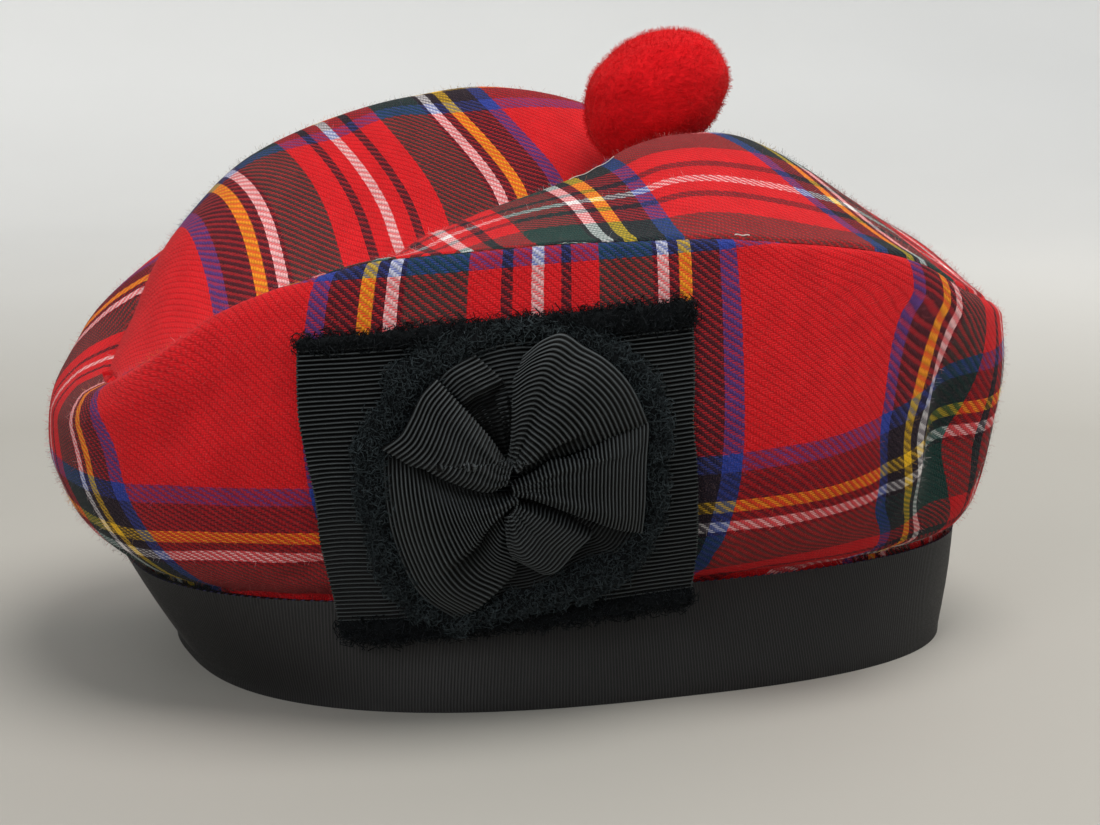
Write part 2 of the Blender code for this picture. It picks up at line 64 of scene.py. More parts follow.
# Sizes that the solid model has too, in millimetres and degrees, and shares of them
RIM_LENGTH = 192.0
RIM_WIDTH = 152.0
RIBBON_HEIGHT = 25.0
RIBBON_WALL = 1.2
BAND_TOP_LENGTH = 212.0
BAND_TOP_WIDTH = 140.0
BAND_TOP_SHIFT = -4.0
RIM_UPRIGHT = 0.08
CROWN_LENGTH = 237.0
CROWN_WIDTH = 180.0
CROWN_SHIFT = -8.5
SEAM_RISE = 81.5
RIDGE_RISE = 29.0
HEM_DEPTH = 6.0
DENT_DEPTH = 6.0
DENT_FADE = 8.0
PANEL_HEIGHT = 65.0
PANEL_WALL = 1.2
PANEL_PLACE = 62.0
PANEL_TILT = 4.0
PANEL_EASE = 4.0
PANEL_RISE = 0.368
BELLY_RISE = 0.454
FOOT_DROP = 7.0
FOOT_STANDOFF = 5.0
FOOT_CURVE = 1.5
ROSETTE_REACH = 40.0
ROSETTE_WALL = 1.2
ROSETTE_CENTRE = (1.0, 0.0)
CLEARANCE = 0.3
OVAL_POWER = 2.6

# Steps by which places and directions on the hat's side are found, in radians and in millimetres
TURN_STEP = 0.02
LEVEL_STEP = 1.0

# Thickness of the cloth and of the ribbons, in millimetres
CLOTH_WALL = 1.5
BAND_SHEET = 1.0
PANEL_SHEET = 0.8
PETAL_SHEET = 0.7

# The seam: how far both panels are drawn in at it and over what distance, and where small relief ends
SEAM_TUCK = 1.0
SEAM_ROUND = 2.2
SEAM_STEADY = 3.0

# Shares of the side panel's height: where the seam's pinch starts, and where its girth is measured
PINCH_START = 0.45
GIRTH_HEIGHT = 0.47

# Height and reach of the small puckers at the seam and over the band, in millimetres
SEAM_PUCKER = 0.16
SEAM_PUCKER_REACH = 3.5
BAND_PUCKER = 0.45
BAND_PUCKER_REACH = 7.0

# Height of the broad, soft waves of the side panel and of the top panel, in millimetres
SIDE_WAVE = 0.35
TOP_WAVE = 0.5

# Soft noise: its wavelength in millimetres, and its place in the noise
BAND_WAVES = (26.0, 3.0)
SIDE_PUCKERS = (5.5, 9.0)
SIDE_WAVES = (24.0, 5.0)
TOP_PUCKERS = (5.5, 2.0)
TOP_WAVES = (22.0, 8.0)
PANEL_SAGS = (11.0, 7.0)
PANEL_SWELLS = (9.0, 4.0)

# Fineness of the meshes: a ribbon's steps to a rib, where it is seen close and where it isn't, rows and
# columns of the other sheets, and the angle in degrees past which an edge is sharp
RIB_STEPS = 5
FEW_RIB_STEPS = 4
SIDE_COLUMNS = 480
SIDE_ROWS = 60
TOP_COLUMNS = 103
TOP_ROWS = 300
PETAL_COLUMNS = 61
DISC_SPOKES = 160
SHARP_ANGLE = 60.0

# Loose fibres: radius in metres, curl as a share of their length, turns, lean in radians and points
WOOL_FUZZ = {"radius": 0.000017, "bend": 0.5, "turns": 0.35, "lean": 1.02, "steps": 3}
POM_FUZZ = {"radius": 0.000036, "bend": 0.55, "turns": 0.4, "lean": 0.9, "steps": 4, "seed": 3}
FRAY_CURLS = {"radius": 0.000108, "bend": 0.9, "turns": 1.1, "lean": 1.2, "steps": 5, "seed": 5}

# Stitches, in metres and radians
BAND_STITCHES = {"pitch": 0.0021, "length": 0.0013, "radius": 0.00017, "lean": 0.25}
SELVEDGE_LOOPS = {"length": 0.0009, "radius": 0.00024, "lean": 1.3}
STITCH_LIFT = 0.15

# Ribbons' finish and painted light: roughness, brightness of the painted highlight on the ribs' crests, how
# narrow the crests are, and shine
BAND_FINISH_AND_PAINTED_CRESTS = (0.50, 1.35, 7.0, 0.36)
PANEL_FINISH_AND_PAINTED_CRESTS = (0.50, 8.5, 13.0, 0.10)
PETAL_FINISH_AND_PAINTED_CRESTS = (0.52, 8.2, 7.0, 0.16)
CROSS_THREAD = 0.22

# The tartan's look: how far its stripes wander in millimetres, the share of warp where the weft and
# where the warp is on top, how far crossed colours mix, the painted shade in the weave's gaps and twill
# lines and the painted light on its threads' tops, and the most that pale fibres hide
STRIPE_WANDER = 0.44
WARP_SHARES = (0.10, 0.95)
COLOUR_MIX = 0.50
PAINTED_GAP_SHADES = (0.70, 1.12)
PAINTED_LINE_SHADES = (0.82, 1.08)
PALE_SHARE = 0.10

# Colours that aren't a user's to change
PALE_FIBRE = (0.62, 0.30, 0.29, 1.0)
PALE_FUZZ = (0.80, 0.50, 0.48, 1.0)
STITCH_THREAD = (0.030, 0.028, 0.060)
SELVEDGE_THREAD = (0.040, 0.045, 0.042)
LINT = (0.62, 0.50, 0.46)

# The side panel's outline over its height: how far it is, at the front, the back and the sides, on its
# way from the band's edge to the crown's widest oval
WALL_SECTIONS = (
    # height, front, back, side
    (0.00, 0.00, 0.00, 0.00),
    (0.06, 0.28, 0.18, 0.42),
    (0.18, 0.61, 0.36, 0.78),
    (0.36, 0.83, 0.55, 0.97),
    (0.55, 0.97, 0.79, 1.00),
    (0.77, 1.00, 1.00, 0.95),
    (0.93, 0.78, 0.97, 0.83),
    (1.00, 0.40, 0.50, 0.75),
)

# The seam's height from its front tip (-1) to its back (1), as a share of SEAM_RISE
SEAM_HEIGHTS = (
    # place, height
    (-1.00, 0.59),
    (-0.95, 0.675),
    (-0.85, 0.82),
    (-0.75, 0.895),
    (-0.58, 0.965),
    (-0.20, 1.00),
    (0.00, 1.00),
    (0.25, 0.975),
    (0.45, 0.94),
    (0.58, 0.895),
    (0.72, 0.81),
    (0.90, 0.735),
    (1.00, 0.70),
)

# How the far front of the seam is pinched in: azimuth in degrees, then how far toward the back and
# how far down, in millimetres
SEAM_PINCH = (
    (-70.0, 0.0, 0.0),
    (-58.0, 0.3, 0.1),
    (-52.0, 0.8, 0.4),
    (-46.0, 1.9, 1.1),
    (-40.0, 3.7, 2.1),
    (-34.0, 6.0, 3.4),
    (-28.0, 8.0, 4.4),
    (-22.0, 9.0, 4.8),
    (-16.0, 8.0, 4.2),
    (-10.0, 6.2, 3.8),
    (-4.0, 4.0, 3.6),
    (2.0, 2.0, 3.3),
    (8.0, 0.6, 2.5),
    (14.0, 0.0, 1.2),
    (24.0, 0.0, 0.0),
)

# The top panel from front (-1) to back (1): for its near crest, its valley and its far ridge, where each
# lies from the far seam (-1) to the near seam (1) and its height as a share of the ridge's
TOP_SECTIONS = (
    # place, near_at, near_up, valley_at, valley_up, ridge_at, ridge_up
    (-1.00, 0.90, 0.00, 0.50, 0.00, -0.45, 0.00),
    (-0.92, 0.92, -0.04, 0.50, -0.20, -0.52, 0.17),
    (-0.85, 0.93, -0.07, 0.50, -0.38, -0.53, 0.25),
    (-0.76, 0.93, -0.08, 0.46, -0.52, -0.54, 0.33),
    (-0.64, 0.90, -0.08, 0.38, -0.58, -0.56, 0.47),
    (-0.52, 0.76, -0.06, 0.24, -0.54, -0.56, 0.62),
    (-0.41, 0.58, 0.00, 0.12, -0.44, -0.55, 0.74),
    (-0.20, 0.42, 0.18, 0.06, -0.28, -0.54, 0.91),
    (-0.04, 0.40, 0.38, 0.04, -0.07, -0.53, 0.99),
    (0.07, 0.38, 0.59, 0.02, 0.10, -0.52, 0.97),
    (0.20, 0.34, 0.71, 0.00, 0.24, -0.48, 0.90),
    (0.32, 0.30, 0.76, 0.00, 0.44, -0.42, 0.69),
    (0.44, 0.28, 0.67, 0.00, 0.58, -0.40, 0.56),
    (0.60, 0.25, 0.50, 0.00, 0.48, -0.40, 0.42),
    (0.80, 0.30, 0.41, 0.00, 0.41, -0.40, 0.35),
    (0.93, 0.30, 0.20, 0.00, 0.22, -0.40, 0.17),
    (1.00, 0.30, 0.00, 0.00, 0.00, -0.40, 0.00),
)

# Broad swells of the side panel, and dents where the depth is below 0: azimuth and spread in degrees,
# height and reach as shares of the wall, and depth as a share of DENT_DEPTH
WALL_DENTS = (
    # azimuth, spread, height, reach, depth
    (62.0, 34.0, 0.15, 0.22, -0.90),
    (112.0, 16.0, 0.33, 0.30, 0.80),
    (134.0, 7.0, 0.40, 0.28, -1.20),
    (28.0, 9.0, 0.70, 0.20, -0.30),
    (326.0, 16.0, 0.88, 0.13, 0.55),
    (248.0, 18.0, 0.33, 0.30, 0.70),
    (218.0, 8.0, 0.40, 0.28, -0.70),
)

# Small creases and puckers of the side panel: azimuth in degrees, height as a share of the wall, half
# length and half width in millimetres, turn in degrees from level, and depth in millimetres
WALL_CREASES = (
    # azimuth, height, length, width, turn, depth
    (26.0, 0.62, 17.0, 4.0, 40.0, -0.9),
    (31.0, 0.50, 15.0, 3.5, 42.0, 0.7),
    (37.0, 0.10, 9.0, 2.6, 25.0, -0.9),
    (44.0, 0.16, 10.0, 2.8, 160.0, 0.8),
    (30.0, 0.18, 12.0, 3.0, 10.0, -0.7),
    (98.0, 0.10, 10.0, 2.6, 20.0, -0.7),
    (106.0, 0.14, 11.0, 3.0, 155.0, 0.7),
    (118.0, 0.30, 16.0, 3.2, 100.0, -0.9),
    (126.0, 0.55, 18.0, 3.6, 80.0, 0.8),
    (150.0, 0.40, 16.0, 4.0, 70.0, -0.9),
    (-30.0, 0.40, 16.0, 4.0, 60.0, -0.9),
    (-70.0, 0.15, 12.0, 3.0, 20.0, 0.8),
    (-110.0, 0.30, 16.0, 4.0, 110.0, -0.9),
    (-150.0, 0.25, 14.0, 3.5, 60.0, 0.8),
)

# How far the upright stripes of the side panel lean, in millimetres toward the back: a row for each
# azimuth in degrees, a column for each height of the wall
LEAN_HEIGHTS = (0.05, 0.24, 0.42, 0.58, 0.80, 0.90, 1.00)
STRIPE_LEANS = (
    # azimuth, then the lean at each height
    (-72.0, 0.0, 0.0, 0.0, 0.0, 0.0, 0.0, 0.0),
    (-30.0, 0.0, 1.0, 3.5, 6.0, 13.0, 19.0, 25.0),
    (-10.0, -2.0, 1.0, 4.0, 5.5, 12.0, 17.5, 22.5),
    (14.0, -4.0, 1.0, 4.5, 6.0, 12.5, 18.0, 22.0),
    (34.0, 0.0, 0.0, 0.0, 0.0, 0.0, 0.0, 0.0),
    (66.0, 0.0, 0.0, 0.0, 0.0, 0.0, 0.0, 0.0),
    (80.0, 2.6, 2.6, 2.6, 2.6, 2.6, 2.4, 2.4),
    (90.0, 3.4, 3.4, 3.4, 3.4, 3.2, 2.8, 2.6),
    (104.0, 1.5, 1.5, 1.5, 1.5, 1.2, 1.0, 1.0),
    (122.0, -8.5, 11.0, 16.0, 11.0, 2.5, -4.2, -5.5),
    (150.0, 0.0, 0.0, 0.0, 0.0, 0.0, 0.0, 0.0),
)

# Length up the wall at which the lower level blue stripe runs, in millimetres, by azimuth
LEVEL_STRIPE = (
    # azimuth, length
    (0.0, 31.0),
    (17.0, 31.5),
    (29.0, 34.0),
    (41.0, 35.0),
    (60.0, 36.0),
    (80.0, 37.2),
    (92.0, 39.0),
    (104.0, 43.5),
    (120.0, 50.5),
    (140.0, 53.0),
    (180.0, 53.0),
)

# Where the side panel's stripes start round the hat and up it, in millimetres of the sett, and how far
# the cloth's pattern is drawn apart
STRIPE_ORIGIN = 140.9
LEVEL_STRIPE_SETT = 45.0
ALONG_SCALE = 1.07
UP_SCALE = 1.10

# Where the top panel's crosswise stripes run: the place along the hat at four distances from a white
# line, for six places across the hat, in millimetres
CROSS_STRIPES = (-45.0, 0.0, 45.0, 90.2)
CROSS_STRIPE_PLACES = (
    # across, then the place of each stripe
    (-80.0, -86.0, -50.0, -9.0, 37.0),
    (-40.0, -86.5, -49.5, -7.7, 36.0),
    (-10.0, -87.2, -41.0, 3.6, 36.0),
    (30.0, -92.0, -45.0, 0.5, 30.0),
    (55.0, -96.2, -48.1, -1.5, 36.0),
    (80.0, -98.0, -51.8, -5.0, 49.0),
)
CROSS_FRONT_RATE = 1.22
CROSS_BACK_RATE = 1.05

# Where the top panel's lengthwise white line runs, along the hat and across it, and how far the
# stripes beside it are drawn apart there
LENGTH_STRIPE = (
    # along, across, scale
    (-110.0, 88.0, 1.50),
    (-85.0, 85.0, 1.50),
    (-70.0, 77.0, 1.42),
    (-58.0, 66.0, 1.28),
    (-44.0, 54.5, 1.15),
    (-31.0, 51.0, 1.15),
    (-23.0, 52.3, 1.15),
    (-3.0, 57.5, 1.15),
    (17.0, 58.5, 1.15),
    (36.0, 60.5, 1.15),
    (50.0, 57.5, 1.15),
    (100.0, 50.0, 1.15),
)

# Half of the tartan's repeat, from the middle of a white line: where each colour ends, in millimetres
SETT = (
    # end, colour
    (1.15, "white"),
    (5.1, "red"),
    (7.6, "black"),
    (14.4, "red"),
    (27.2, "green"),
    (28.5, "black"),
    (31.0, "white"),
    (33.3, "black"),
    (36.2, "yellow"),
    (43.0, "black"),
    (47.0, "blue"),
    (67.6, "red"),
)

# The cockade panel's frayed ends, in millimetres: heights over its middle at which each starts, and how
# wide each is
PANEL_FRAYS = (
    # place from front (-1) to back (1), top start, top width, bottom start, bottom width
    (-1.0, 32.4, 2.0, -29.2, 4.6),
    (-0.55, 32.2, 2.9, -29.4, 4.5),
    (-0.2, 31.4, 4.0, -30.2, 4.0),
    (0.3, 30.8, 4.7, -30.8, 3.6),
    (1.0, 30.2, 4.9, -31.0, 3.6),
)

# The cockade panel's front and back edges at heights over its middle, in millimetres
PANEL_EDGES = (
    # up, front, back
    (-33.0, -42.5, 46.0),
    (-20.0, -41.2, 45.4),
    (-10.0, -41.0, 44.2),
    (0.0, -40.2, 43.0),
    (10.0, -41.2, 41.8),
    (20.0, -42.4, 42.0),
    (33.0, -42.8, 41.8),
)

# A fray's core: its section outward and up from its edge, as shares of its width and its height, and
# that height in millimetres
FRAY_SECTION = (
    (-0.15, 0.0), (-0.10, 0.50), (0.10, 0.85), (0.40, 1.0), (0.75, 0.80), (1.0, 0.35), (0.98, 0.0)
)
FRAY_RISE = 2.4

# The rosette's base, in millimetres: the hole in its middle, and how far it runs in under its border
DISC_HOLE = 3.0
DISC_OVERLAP = 1.5

# The rosette's frayed border: its inner and outer reach from the rosette's middle, in millimetres
BORDER = (
    # angle, inner, outer
    (-24.0, 31.2, 36.2),
    (-9.0, 29.2, 35.0),
    (0.0, 29.0, 34.4),
    (19.0, 31.4, 36.6),
    (30.0, 31.2, 37.2),
    (45.0, 31.4, 36.6),
    (60.0, 31.6, 36.0),
    (75.0, 31.6, 34.6),
    (100.0, 31.0, 34.4),
    (112.0, 30.0, 35.4),
    (121.0, 28.6, 36.4),
    (130.0, 28.0, 36.8),
    (140.0, 26.4, 33.6),
    (150.0, 26.6, 33.2),
    (157.0, 27.8, 34.2),
    (172.0, 25.8, 32.2),
    (190.0, 25.6, 31.6),
    (205.0, 27.4, 33.8),
    (218.0, 29.2, 35.8),
    (232.0, 31.2, 37.2),
    (242.0, 30.6, 36.4),
    (252.0, 27.0, 32.6),
    (268.0, 24.6, 30.0),
    (290.0, 24.6, 31.0),
    (303.0, 25.0, 33.2),
    (315.0, 27.0, 35.2),
    (326.0, 31.0, 37.2),
)

# The rosette's folded petals, in millimetres from the cockade's middle toward the back and up: the
# two sides of each from root to tip, its tip from the first side to the last, how high it stands from
# root to tip, the share of that height at its two sides, its soft folds (place across, drift, height,
# spread), its layers (place across, drift, drop, spread, reach), each with painted shade under its edge,
# and how strong a painted shadow across its middle is
PETALS = (
    {
        "name": "petal_top",
        "first": ((-1.5, 8.0), (-4.5, 13.5), (-10.3, 21.0), (-13.8, 24.2)),
        "last": ((1.4, 8.0), (1.4, 14.0), (0.6, 20.3), (-6.6, 28.9)),
        "tip": ((-13.8, 24.2), (-12.0, 26.2), (-6.6, 28.9)),
        "profile": ((0.0, 0.3), (0.50, 0.2), (0.60, 0.5), (0.68, 2.6), (0.85, 2.8), (1.0, 1.6)),
        "edges": (0.60, 0.85),
        "folds": ((0.55, 0.0, 0.5, 0.12),),
        "layers": (),
        "painted_shadow": 0.95,
    },
    {
        "name": "petal_back_low",
        "first": ((-0.2, -4.8), (-0.8, -9.0), (0.2, -13.6), (5.0, -17.6)),
        "last": ((1.5, -2.4), (9.9, -4.9), (15.7, -7.4), (21.6, -10.6)),
        "tip": ((5.0, -17.6), (8.4, -19.7), (10.0, -19.4), (15.2, -14.8), (21.6, -10.6)),
        "profile": ((0.0, 3.6), (0.25, 4.2), (0.60, 3.8), (1.0, 2.4)),
        "edges": (0.85, 0.05),
        "folds": ((0.16, 0.1, 0.8, 0.10), (0.50, 0.0, -0.5, 0.12)),
        "layers": ((0.84, 0.0, 1.8, 0.060, 1.20),),
        "painted_shadow": 0.0,
    },
    {
        "name": "petal_back",
        "first": ((1.0, -0.4), (5.3, -2.0), (9.8, -4.0), (15.7, -6.8), (25.0, -11.2), (30.2, -13.0)),
        "last": ((0.6, 1.0), (5.3, 3.2), (9.8, 5.5), (15.4, 6.8), (21.6, 9.3), (30.6, 11.0)),
        "tip": ((30.2, -13.0), (30.2, -7.6), (30.0, 0.8), (30.6, 11.0)),
        "profile": ((0.0, 2.6), (0.30, 4.6), (0.65, 5.2), (1.0, 2.8)),
        "edges": (0.72, 0.60),
        "folds": ((0.80, 0.02, 0.7, 0.08), (0.40, 0.0, -0.5, 0.14), (0.14, 0.0, 0.5, 0.08)),
        "layers": (),
        "painted_shadow": 0.0,
    },
    {
        "name": "petal_front_low",
        "first": ((2.0, -1.2), (-4.0, -0.6), (-10.8, 1.6), (-18.0, 6.4), (-25.2, 11.2)),
        "last": ((2.4, -3.4), (0.6, -10.0), (1.2, -17.3), (-8.0, -24.7), (-13.6, -28.4)),
        "tip": (
            (-25.2, 11.2), (-25.4, 4.0), (-25.2, -3.5), (-22.8, -17.4), (-20.2, -22.5), (-13.6, -28.4)
        ),
        "profile": ((0.0, 1.4), (0.25, 2.8), (0.60, 3.0), (0.85, 2.4), (1.0, 1.6)),
        "edges": (0.15, 0.70),
        "folds": ((0.24, 0.02, 0.5, 0.07), (0.80, 0.0, 0.4, 0.10)),
        "layers": ((0.14, -0.06, -2.0, 0.07, 0.85), (0.36, 0.40, 2.7, 0.045, 0.70)),
        "painted_shadow": 0.0,
    },
    {
        "name": "petal_front_high",
        "first": ((-0.4, 2.0), (-3.9, 1.0), (-7.8, 2.2), (-11.8, 4.0), (-19.5, 8.4), (-25.2, 12.0)),
        "last": ((1.0, 5.6), (-1.1, 8.0), (-3.4, 11.6), (-6.9, 16.0), (-10.3, 20.0), (-14.4, 24.7)),
        "tip": ((-25.2, 12.0), (-21.4, 14.6), (-19.5, 17.6), (-17.2, 22.0), (-14.4, 24.7)),
        "profile": ((0.0, 4.0), (0.30, 5.8), (0.65, 6.2), (1.0, 4.6)),
        "edges": (0.72, 0.66),
        "folds": ((0.14, 0.0, 0.5, 0.07), (0.62, 0.0, -0.6, 0.12)),
        "layers": (),
        "painted_shadow": 0.0,
    },
    {
        "name": "petal_back_high",
        "first": ((0.4, 6.4), (0.8, 15.0), (1.0, 22.0), (3.7, 28.0)),
        "last": ((2.0, 2.6), (5.3, 3.8), (9.8, 5.6), (15.4, 7.0), (21.0, 9.2), (30.4, 11.0)),
        "tip": (
            (3.7, 28.0), (7.8, 30.8), (10.8, 31.6), (16.0, 28.4), (20.2, 25.6), (25.5, 20.0), (30.4, 11.0)
        ),
        "profile": ((0.0, 3.6), (0.25, 5.4), (0.65, 6.4), (0.90, 5.0), (1.0, 3.2)),
        "edges": (0.80, 0.50),
        "folds": ((0.30, 0.05, -0.6, 0.12), (0.50, 0.0, 0.4, 0.10)),
        "layers": ((0.66, 0.28, 2.1, 0.030, 0.52),),
        "painted_shadow": 0.0,
    },
)

# Height over the rosette's base under which a petal is painted dark as painted shade, in millimetres
PAINTED_SHADE_RISE = 1.8

# The pom: half its width, length and thickness, and its place from the solid's middle, in millimetres,
# its lean in degrees, and the ways that its drooping lobe and its shoulder point
POM_HALVES = (17.2, 19.4, 14.9)
POM_SHIFT = Vector((0.0, -0.7, -0.2))
POM_LEAN = 24.0
POM_LOBE = Vector((0.15, -0.86, -0.62)).normalized()
POM_SHOULDER = Vector((0.1, 0.75, 0.62)).normalized()

# The floor, in metres: how far it is flat, how wide it sweeps up and how high it ends
FLOOR_REACH = 1.1
FLOOR_SWEEP = 0.9
FLOOR_TOP = 1.4
FLOOR_SIDES = 96

# Lamps: place, what each points at and size in metres, share of the main lamp's power, and colour
HAT_MIDDLE = (0.0, 0.0, 0.07)
LAMPS = (
    ("lamp_over", (0.22, 0.20, 1.05), HAT_MIDDLE, 0.7, 1.0, (1.0, 0.98, 0.95)),
    ("lamp_front", (0.75, -0.85, 0.62), HAT_MIDDLE, 0.6, 0.45, (0.97, 0.98, 1.0)),
    ("lamp_back", (-0.50, 0.80, 0.75), HAT_MIDDLE, 0.7, 0.35, (1.0, 0.97, 0.93)),
    ("lamp_wall", (-0.55, 0.0, 1.30), (-2.0, 0.0, 0.6), 1.0, 0.50, (1.0, 0.98, 0.94)),
)
SKY = (0.93, 0.97, 1.0, 1.0)

# The camera's place from the middle of the rim in millimetres, its turn and fall in degrees, and its lens
CAMERA_PLACE = (562.7, -215.9, 155.1)
CAMERA_TURN = 20.8
CAMERA_FALL = 9.5
CAMERA_LENS = 78.545
CAMERA_SENSOR = 36.0


class TartanSettings(bpy.types.PropertyGroup):
    """Colours and sizes of the tartan cloth."""

    red: FloatVectorProperty(
        name="Red", description="Ground colour", subtype="COLOR", default=(0.585, 0.0098, 0.0138)
    )
    green: FloatVectorProperty(
        name="Green", description="Broad dark stripe", subtype="COLOR", default=(0.006, 0.040, 0.034)
    )
    black: FloatVectorProperty(
        name="Black", description="Narrow dark stripe", subtype="COLOR", default=(0.012, 0.010, 0.016)
    )
    white: FloatVectorProperty(
        name="White", description="Fine pale stripe", subtype="COLOR", default=(0.80, 0.76, 0.74)
    )
    yellow: FloatVectorProperty(
        name="Yellow", description="Fine bright stripe", subtype="COLOR", default=(0.80, 0.46, 0.015)
    )
    blue: FloatVectorProperty(
        name="Blue", description="Stripe by the ground", subtype="COLOR", default=(0.022, 0.045, 0.26)
    )
    warp_thread: FloatProperty(
        name="Warp thread",
        description="Width of one warp thread",
        unit="LENGTH",
        precision=5,
        default=0.00058,
    )
    weft_thread: FloatProperty(
        name="Weft thread",
        description="Width of one weft thread",
        unit="LENGTH",
        precision=5,
        default=0.00045,
    )
    fuzz_length: FloatProperty(
        name="Fuzz", description="Length of the loose fibres", unit="LENGTH", precision=4, default=0.0013
    )
    fuzz_density: FloatProperty(
        name="Fuzz density", description="Loose fibres on each square metre", default=380000.0
    )


class RibbonSettings(bpy.types.PropertyGroup):
    """Colours and sizes of the band's and the cockade's ribbons."""

    band: FloatVectorProperty(
        name="Band", description="Colour of the band", subtype="COLOR", default=(0.016, 0.0150, 0.0152)
    )
    cockade: FloatVectorProperty(
        name="Cockade",
        description="Colour of the cockade",
        subtype="COLOR",
        default=(0.0075, 0.0086, 0.0090),
    )
    fray: FloatVectorProperty(
        name="Frayed edge",
        description="Colour of loose threads",
        subtype="COLOR",
        default=(0.0030, 0.0039, 0.0045),
    )
    border: FloatVectorProperty(
        name="Rosette's border",
        description="Colour of its loose threads",
        subtype="COLOR",
        default=(0.019, 0.0250, 0.0272),
    )
    rib_pitch: FloatProperty(
        name="Rib pitch",
        description="Distance between the cockade's ribs",
        unit="LENGTH",
        precision=5,
        default=0.00096,
    )
    rib_depth: FloatProperty(
        name="Rib depth",
        description="Height of the cockade's ribs",
        unit="LENGTH",
        precision=5,
        default=0.00038,
    )
    band_pitch: FloatProperty(
        name="Band rib pitch",
        description="Distance between the band's ribs",
        unit="LENGTH",
        precision=5,
        default=0.00074,
    )
    band_depth: FloatProperty(
        name="Band rib depth",
        description="Height of the band's ribs",
        unit="LENGTH",
        precision=5,
        default=0.00010,
    )
    fray_density: FloatProperty(
        name="Fray density", description="Loose threads on each square metre", default=1850000.0
    )
    fray_length: FloatProperty(
        name="Fray length",
        description="Length of the loose threads",
        unit="LENGTH",
        precision=4,
        default=0.0014,
    )


class PomSettings(bpy.types.PropertyGroup):
    """Colour and fibres of the pom."""

    wool: FloatVectorProperty(
        name="Wool", description="Colour of the wool", subtype="COLOR", default=(0.58, 0.0055, 0.0090)
    )
    fibre_length: FloatProperty(
        name="Fibre length", description="Length of the fibres", unit="LENGTH", precision=4, default=0.0010
    )
    fibres: IntProperty(name="Fibres", description="Number of fibres", default=12500)


class StageSettings(bpy.types.PropertyGroup):
    """Floor, lamps and surroundings."""

    floor: FloatVectorProperty(
        name="Floor", description="Colour of the floor", subtype="COLOR", default=(0.38, 0.365, 0.33)
    )
    sky: FloatProperty(name="Sky", description="Strength of the light from all round", default=0.36)
    lamp: FloatProperty(name="Lamp", description="Power of the main lamp", unit="POWER", default=9.5)


def monotone(xs, ys, x):
    """Cubic through rising xs that never overshoots its points, at one x or at many."""
    xs, ys = np.asarray(xs, float), np.asarray(ys, float)
    slopes = np.diff(ys) / np.diff(xs)
    before, after = slopes[:-1], slopes[1:]
    turning = before * after <= 0.0
    total = np.where(turning, 1.0, before + after)
    inner = np.where(turning, 0.0, 2.0 * before * after / total)
    tangents = np.concatenate(([slopes[0]], inner, [slopes[-1]]))
    x = np.clip(x, xs[0], xs[-1])
    i = np.clip(np.searchsorted(xs, x, side="right") - 1, 0, len(xs) - 2)
    width, lift = xs[i + 1] - xs[i], ys[i + 1] - ys[i]
    t = (x - xs[i]) / width
    start, end = tangents[i] * width, tangents[i + 1] * width
    return ys[i] + t * (start + t * ((3 * lift - 2 * start - end) + t * (start + end - 2 * lift)))


def smooth_curve(rows, column, place):
    """A table's column at a place or at many."""
    return monotone([row[0] for row in rows], [row[column] for row in rows], place)


def stacked(x, y, z):
    """Points from their parts."""
    return np.stack(np.broadcast_arrays(x, y, z), axis=-1).astype(float)


def unit(vectors):
    """Vectors brought to a length of one."""
    return vectors / np.maximum(np.linalg.norm(vectors, axis=-1, keepdims=True), 1e-9)


def rim_middle():
    """Place of the rim's middle in the frame, in millimetres."""
    low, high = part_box("headband")
    x, y = ((low[k] + high[k]) / 2 / MM for k in (0, 1))
    return np.array((x, y - BAND_TOP_SHIFT, low[2] / MM))


def placed(points):
    """Points measured in millimetres from the middle of the rim, brought into the frame."""
    return (np.asarray(points, float) + rim_middle()) * MM


def oval(azimuth, front, back, side):
    """Level oval at an azimuth from the front (-Y) toward the hat's left side (+X)."""
    across, along = np.sin(azimuth), np.cos(azimuth)
    reach = np.where(along > 0.0, front, back)
    spread = (np.abs(across) / side) ** OVAL_POWER + (np.abs(along) / reach) ** OVAL_POWER
    radius = spread ** (-1.0 / OVAL_POWER)
    return radius * across, -radius * along


def ends(length, shift):
    """Reach of an oval to the front and to the back."""
    return length / 2 - shift, length / 2 + shift


def band_edge(inset=0.0):
    """Front, back and side reach of the band's top edge."""
    front, back = ends(BAND_TOP_LENGTH, BAND_TOP_SHIFT)
    return front - inset, back - inset, BAND_TOP_WIDTH / 2 - inset


def hem_inset():
    """How far inside the ribbon's outer face the cloth lies, measured level, where it flares most."""
    flare = np.arctan2(band_edge()[0] - RIM_LENGTH / 2, RIBBON_HEIGHT * (1.0 - RIM_UPRIGHT))
    return RIBBON_WALL / cos(flare) + 2 * CLEARANCE


def wall_reach(front_share, back_share, side_share, inset=0.0):
    """Front, back and side reach of a level of the side panel."""
    band = band_edge(inset)
    crown = (*ends(CROWN_LENGTH, CROWN_SHIFT), CROWN_WIDTH / 2)
    shares = (front_share, back_share, side_share)
    return [low + (high - low) * share for low, high, share in zip(band, crown, shares)]


def seam_place(y):
    """Place along the seam, from -1 at its front tip to 1 at its back."""
    front, back, _ = wall_reach(*WALL_SECTIONS[-1][1:])
    return y / np.where(y < 0.0, front, back)


def seam_point(azimuth):
    """Point of the seam between the side panel and the top panel."""
    x, y = oval(azimuth, *wall_reach(*WALL_SECTIONS[-1][1:]))
    back, down = seam_pinch(azimuth)
    height = RIBBON_HEIGHT + SEAM_RISE * smooth_curve(SEAM_HEIGHTS, 1, seam_place(y))
    return stacked(x, y + back, height - down)


def seam_pinch(azimuth):
    """How far the seam is pinched toward the back and down."""
    turn = (np.degrees(azimuth) + 180.0) % 360.0 - 180.0
    return [smooth_curve(SEAM_PINCH, column, turn) for column in (1, 2)]


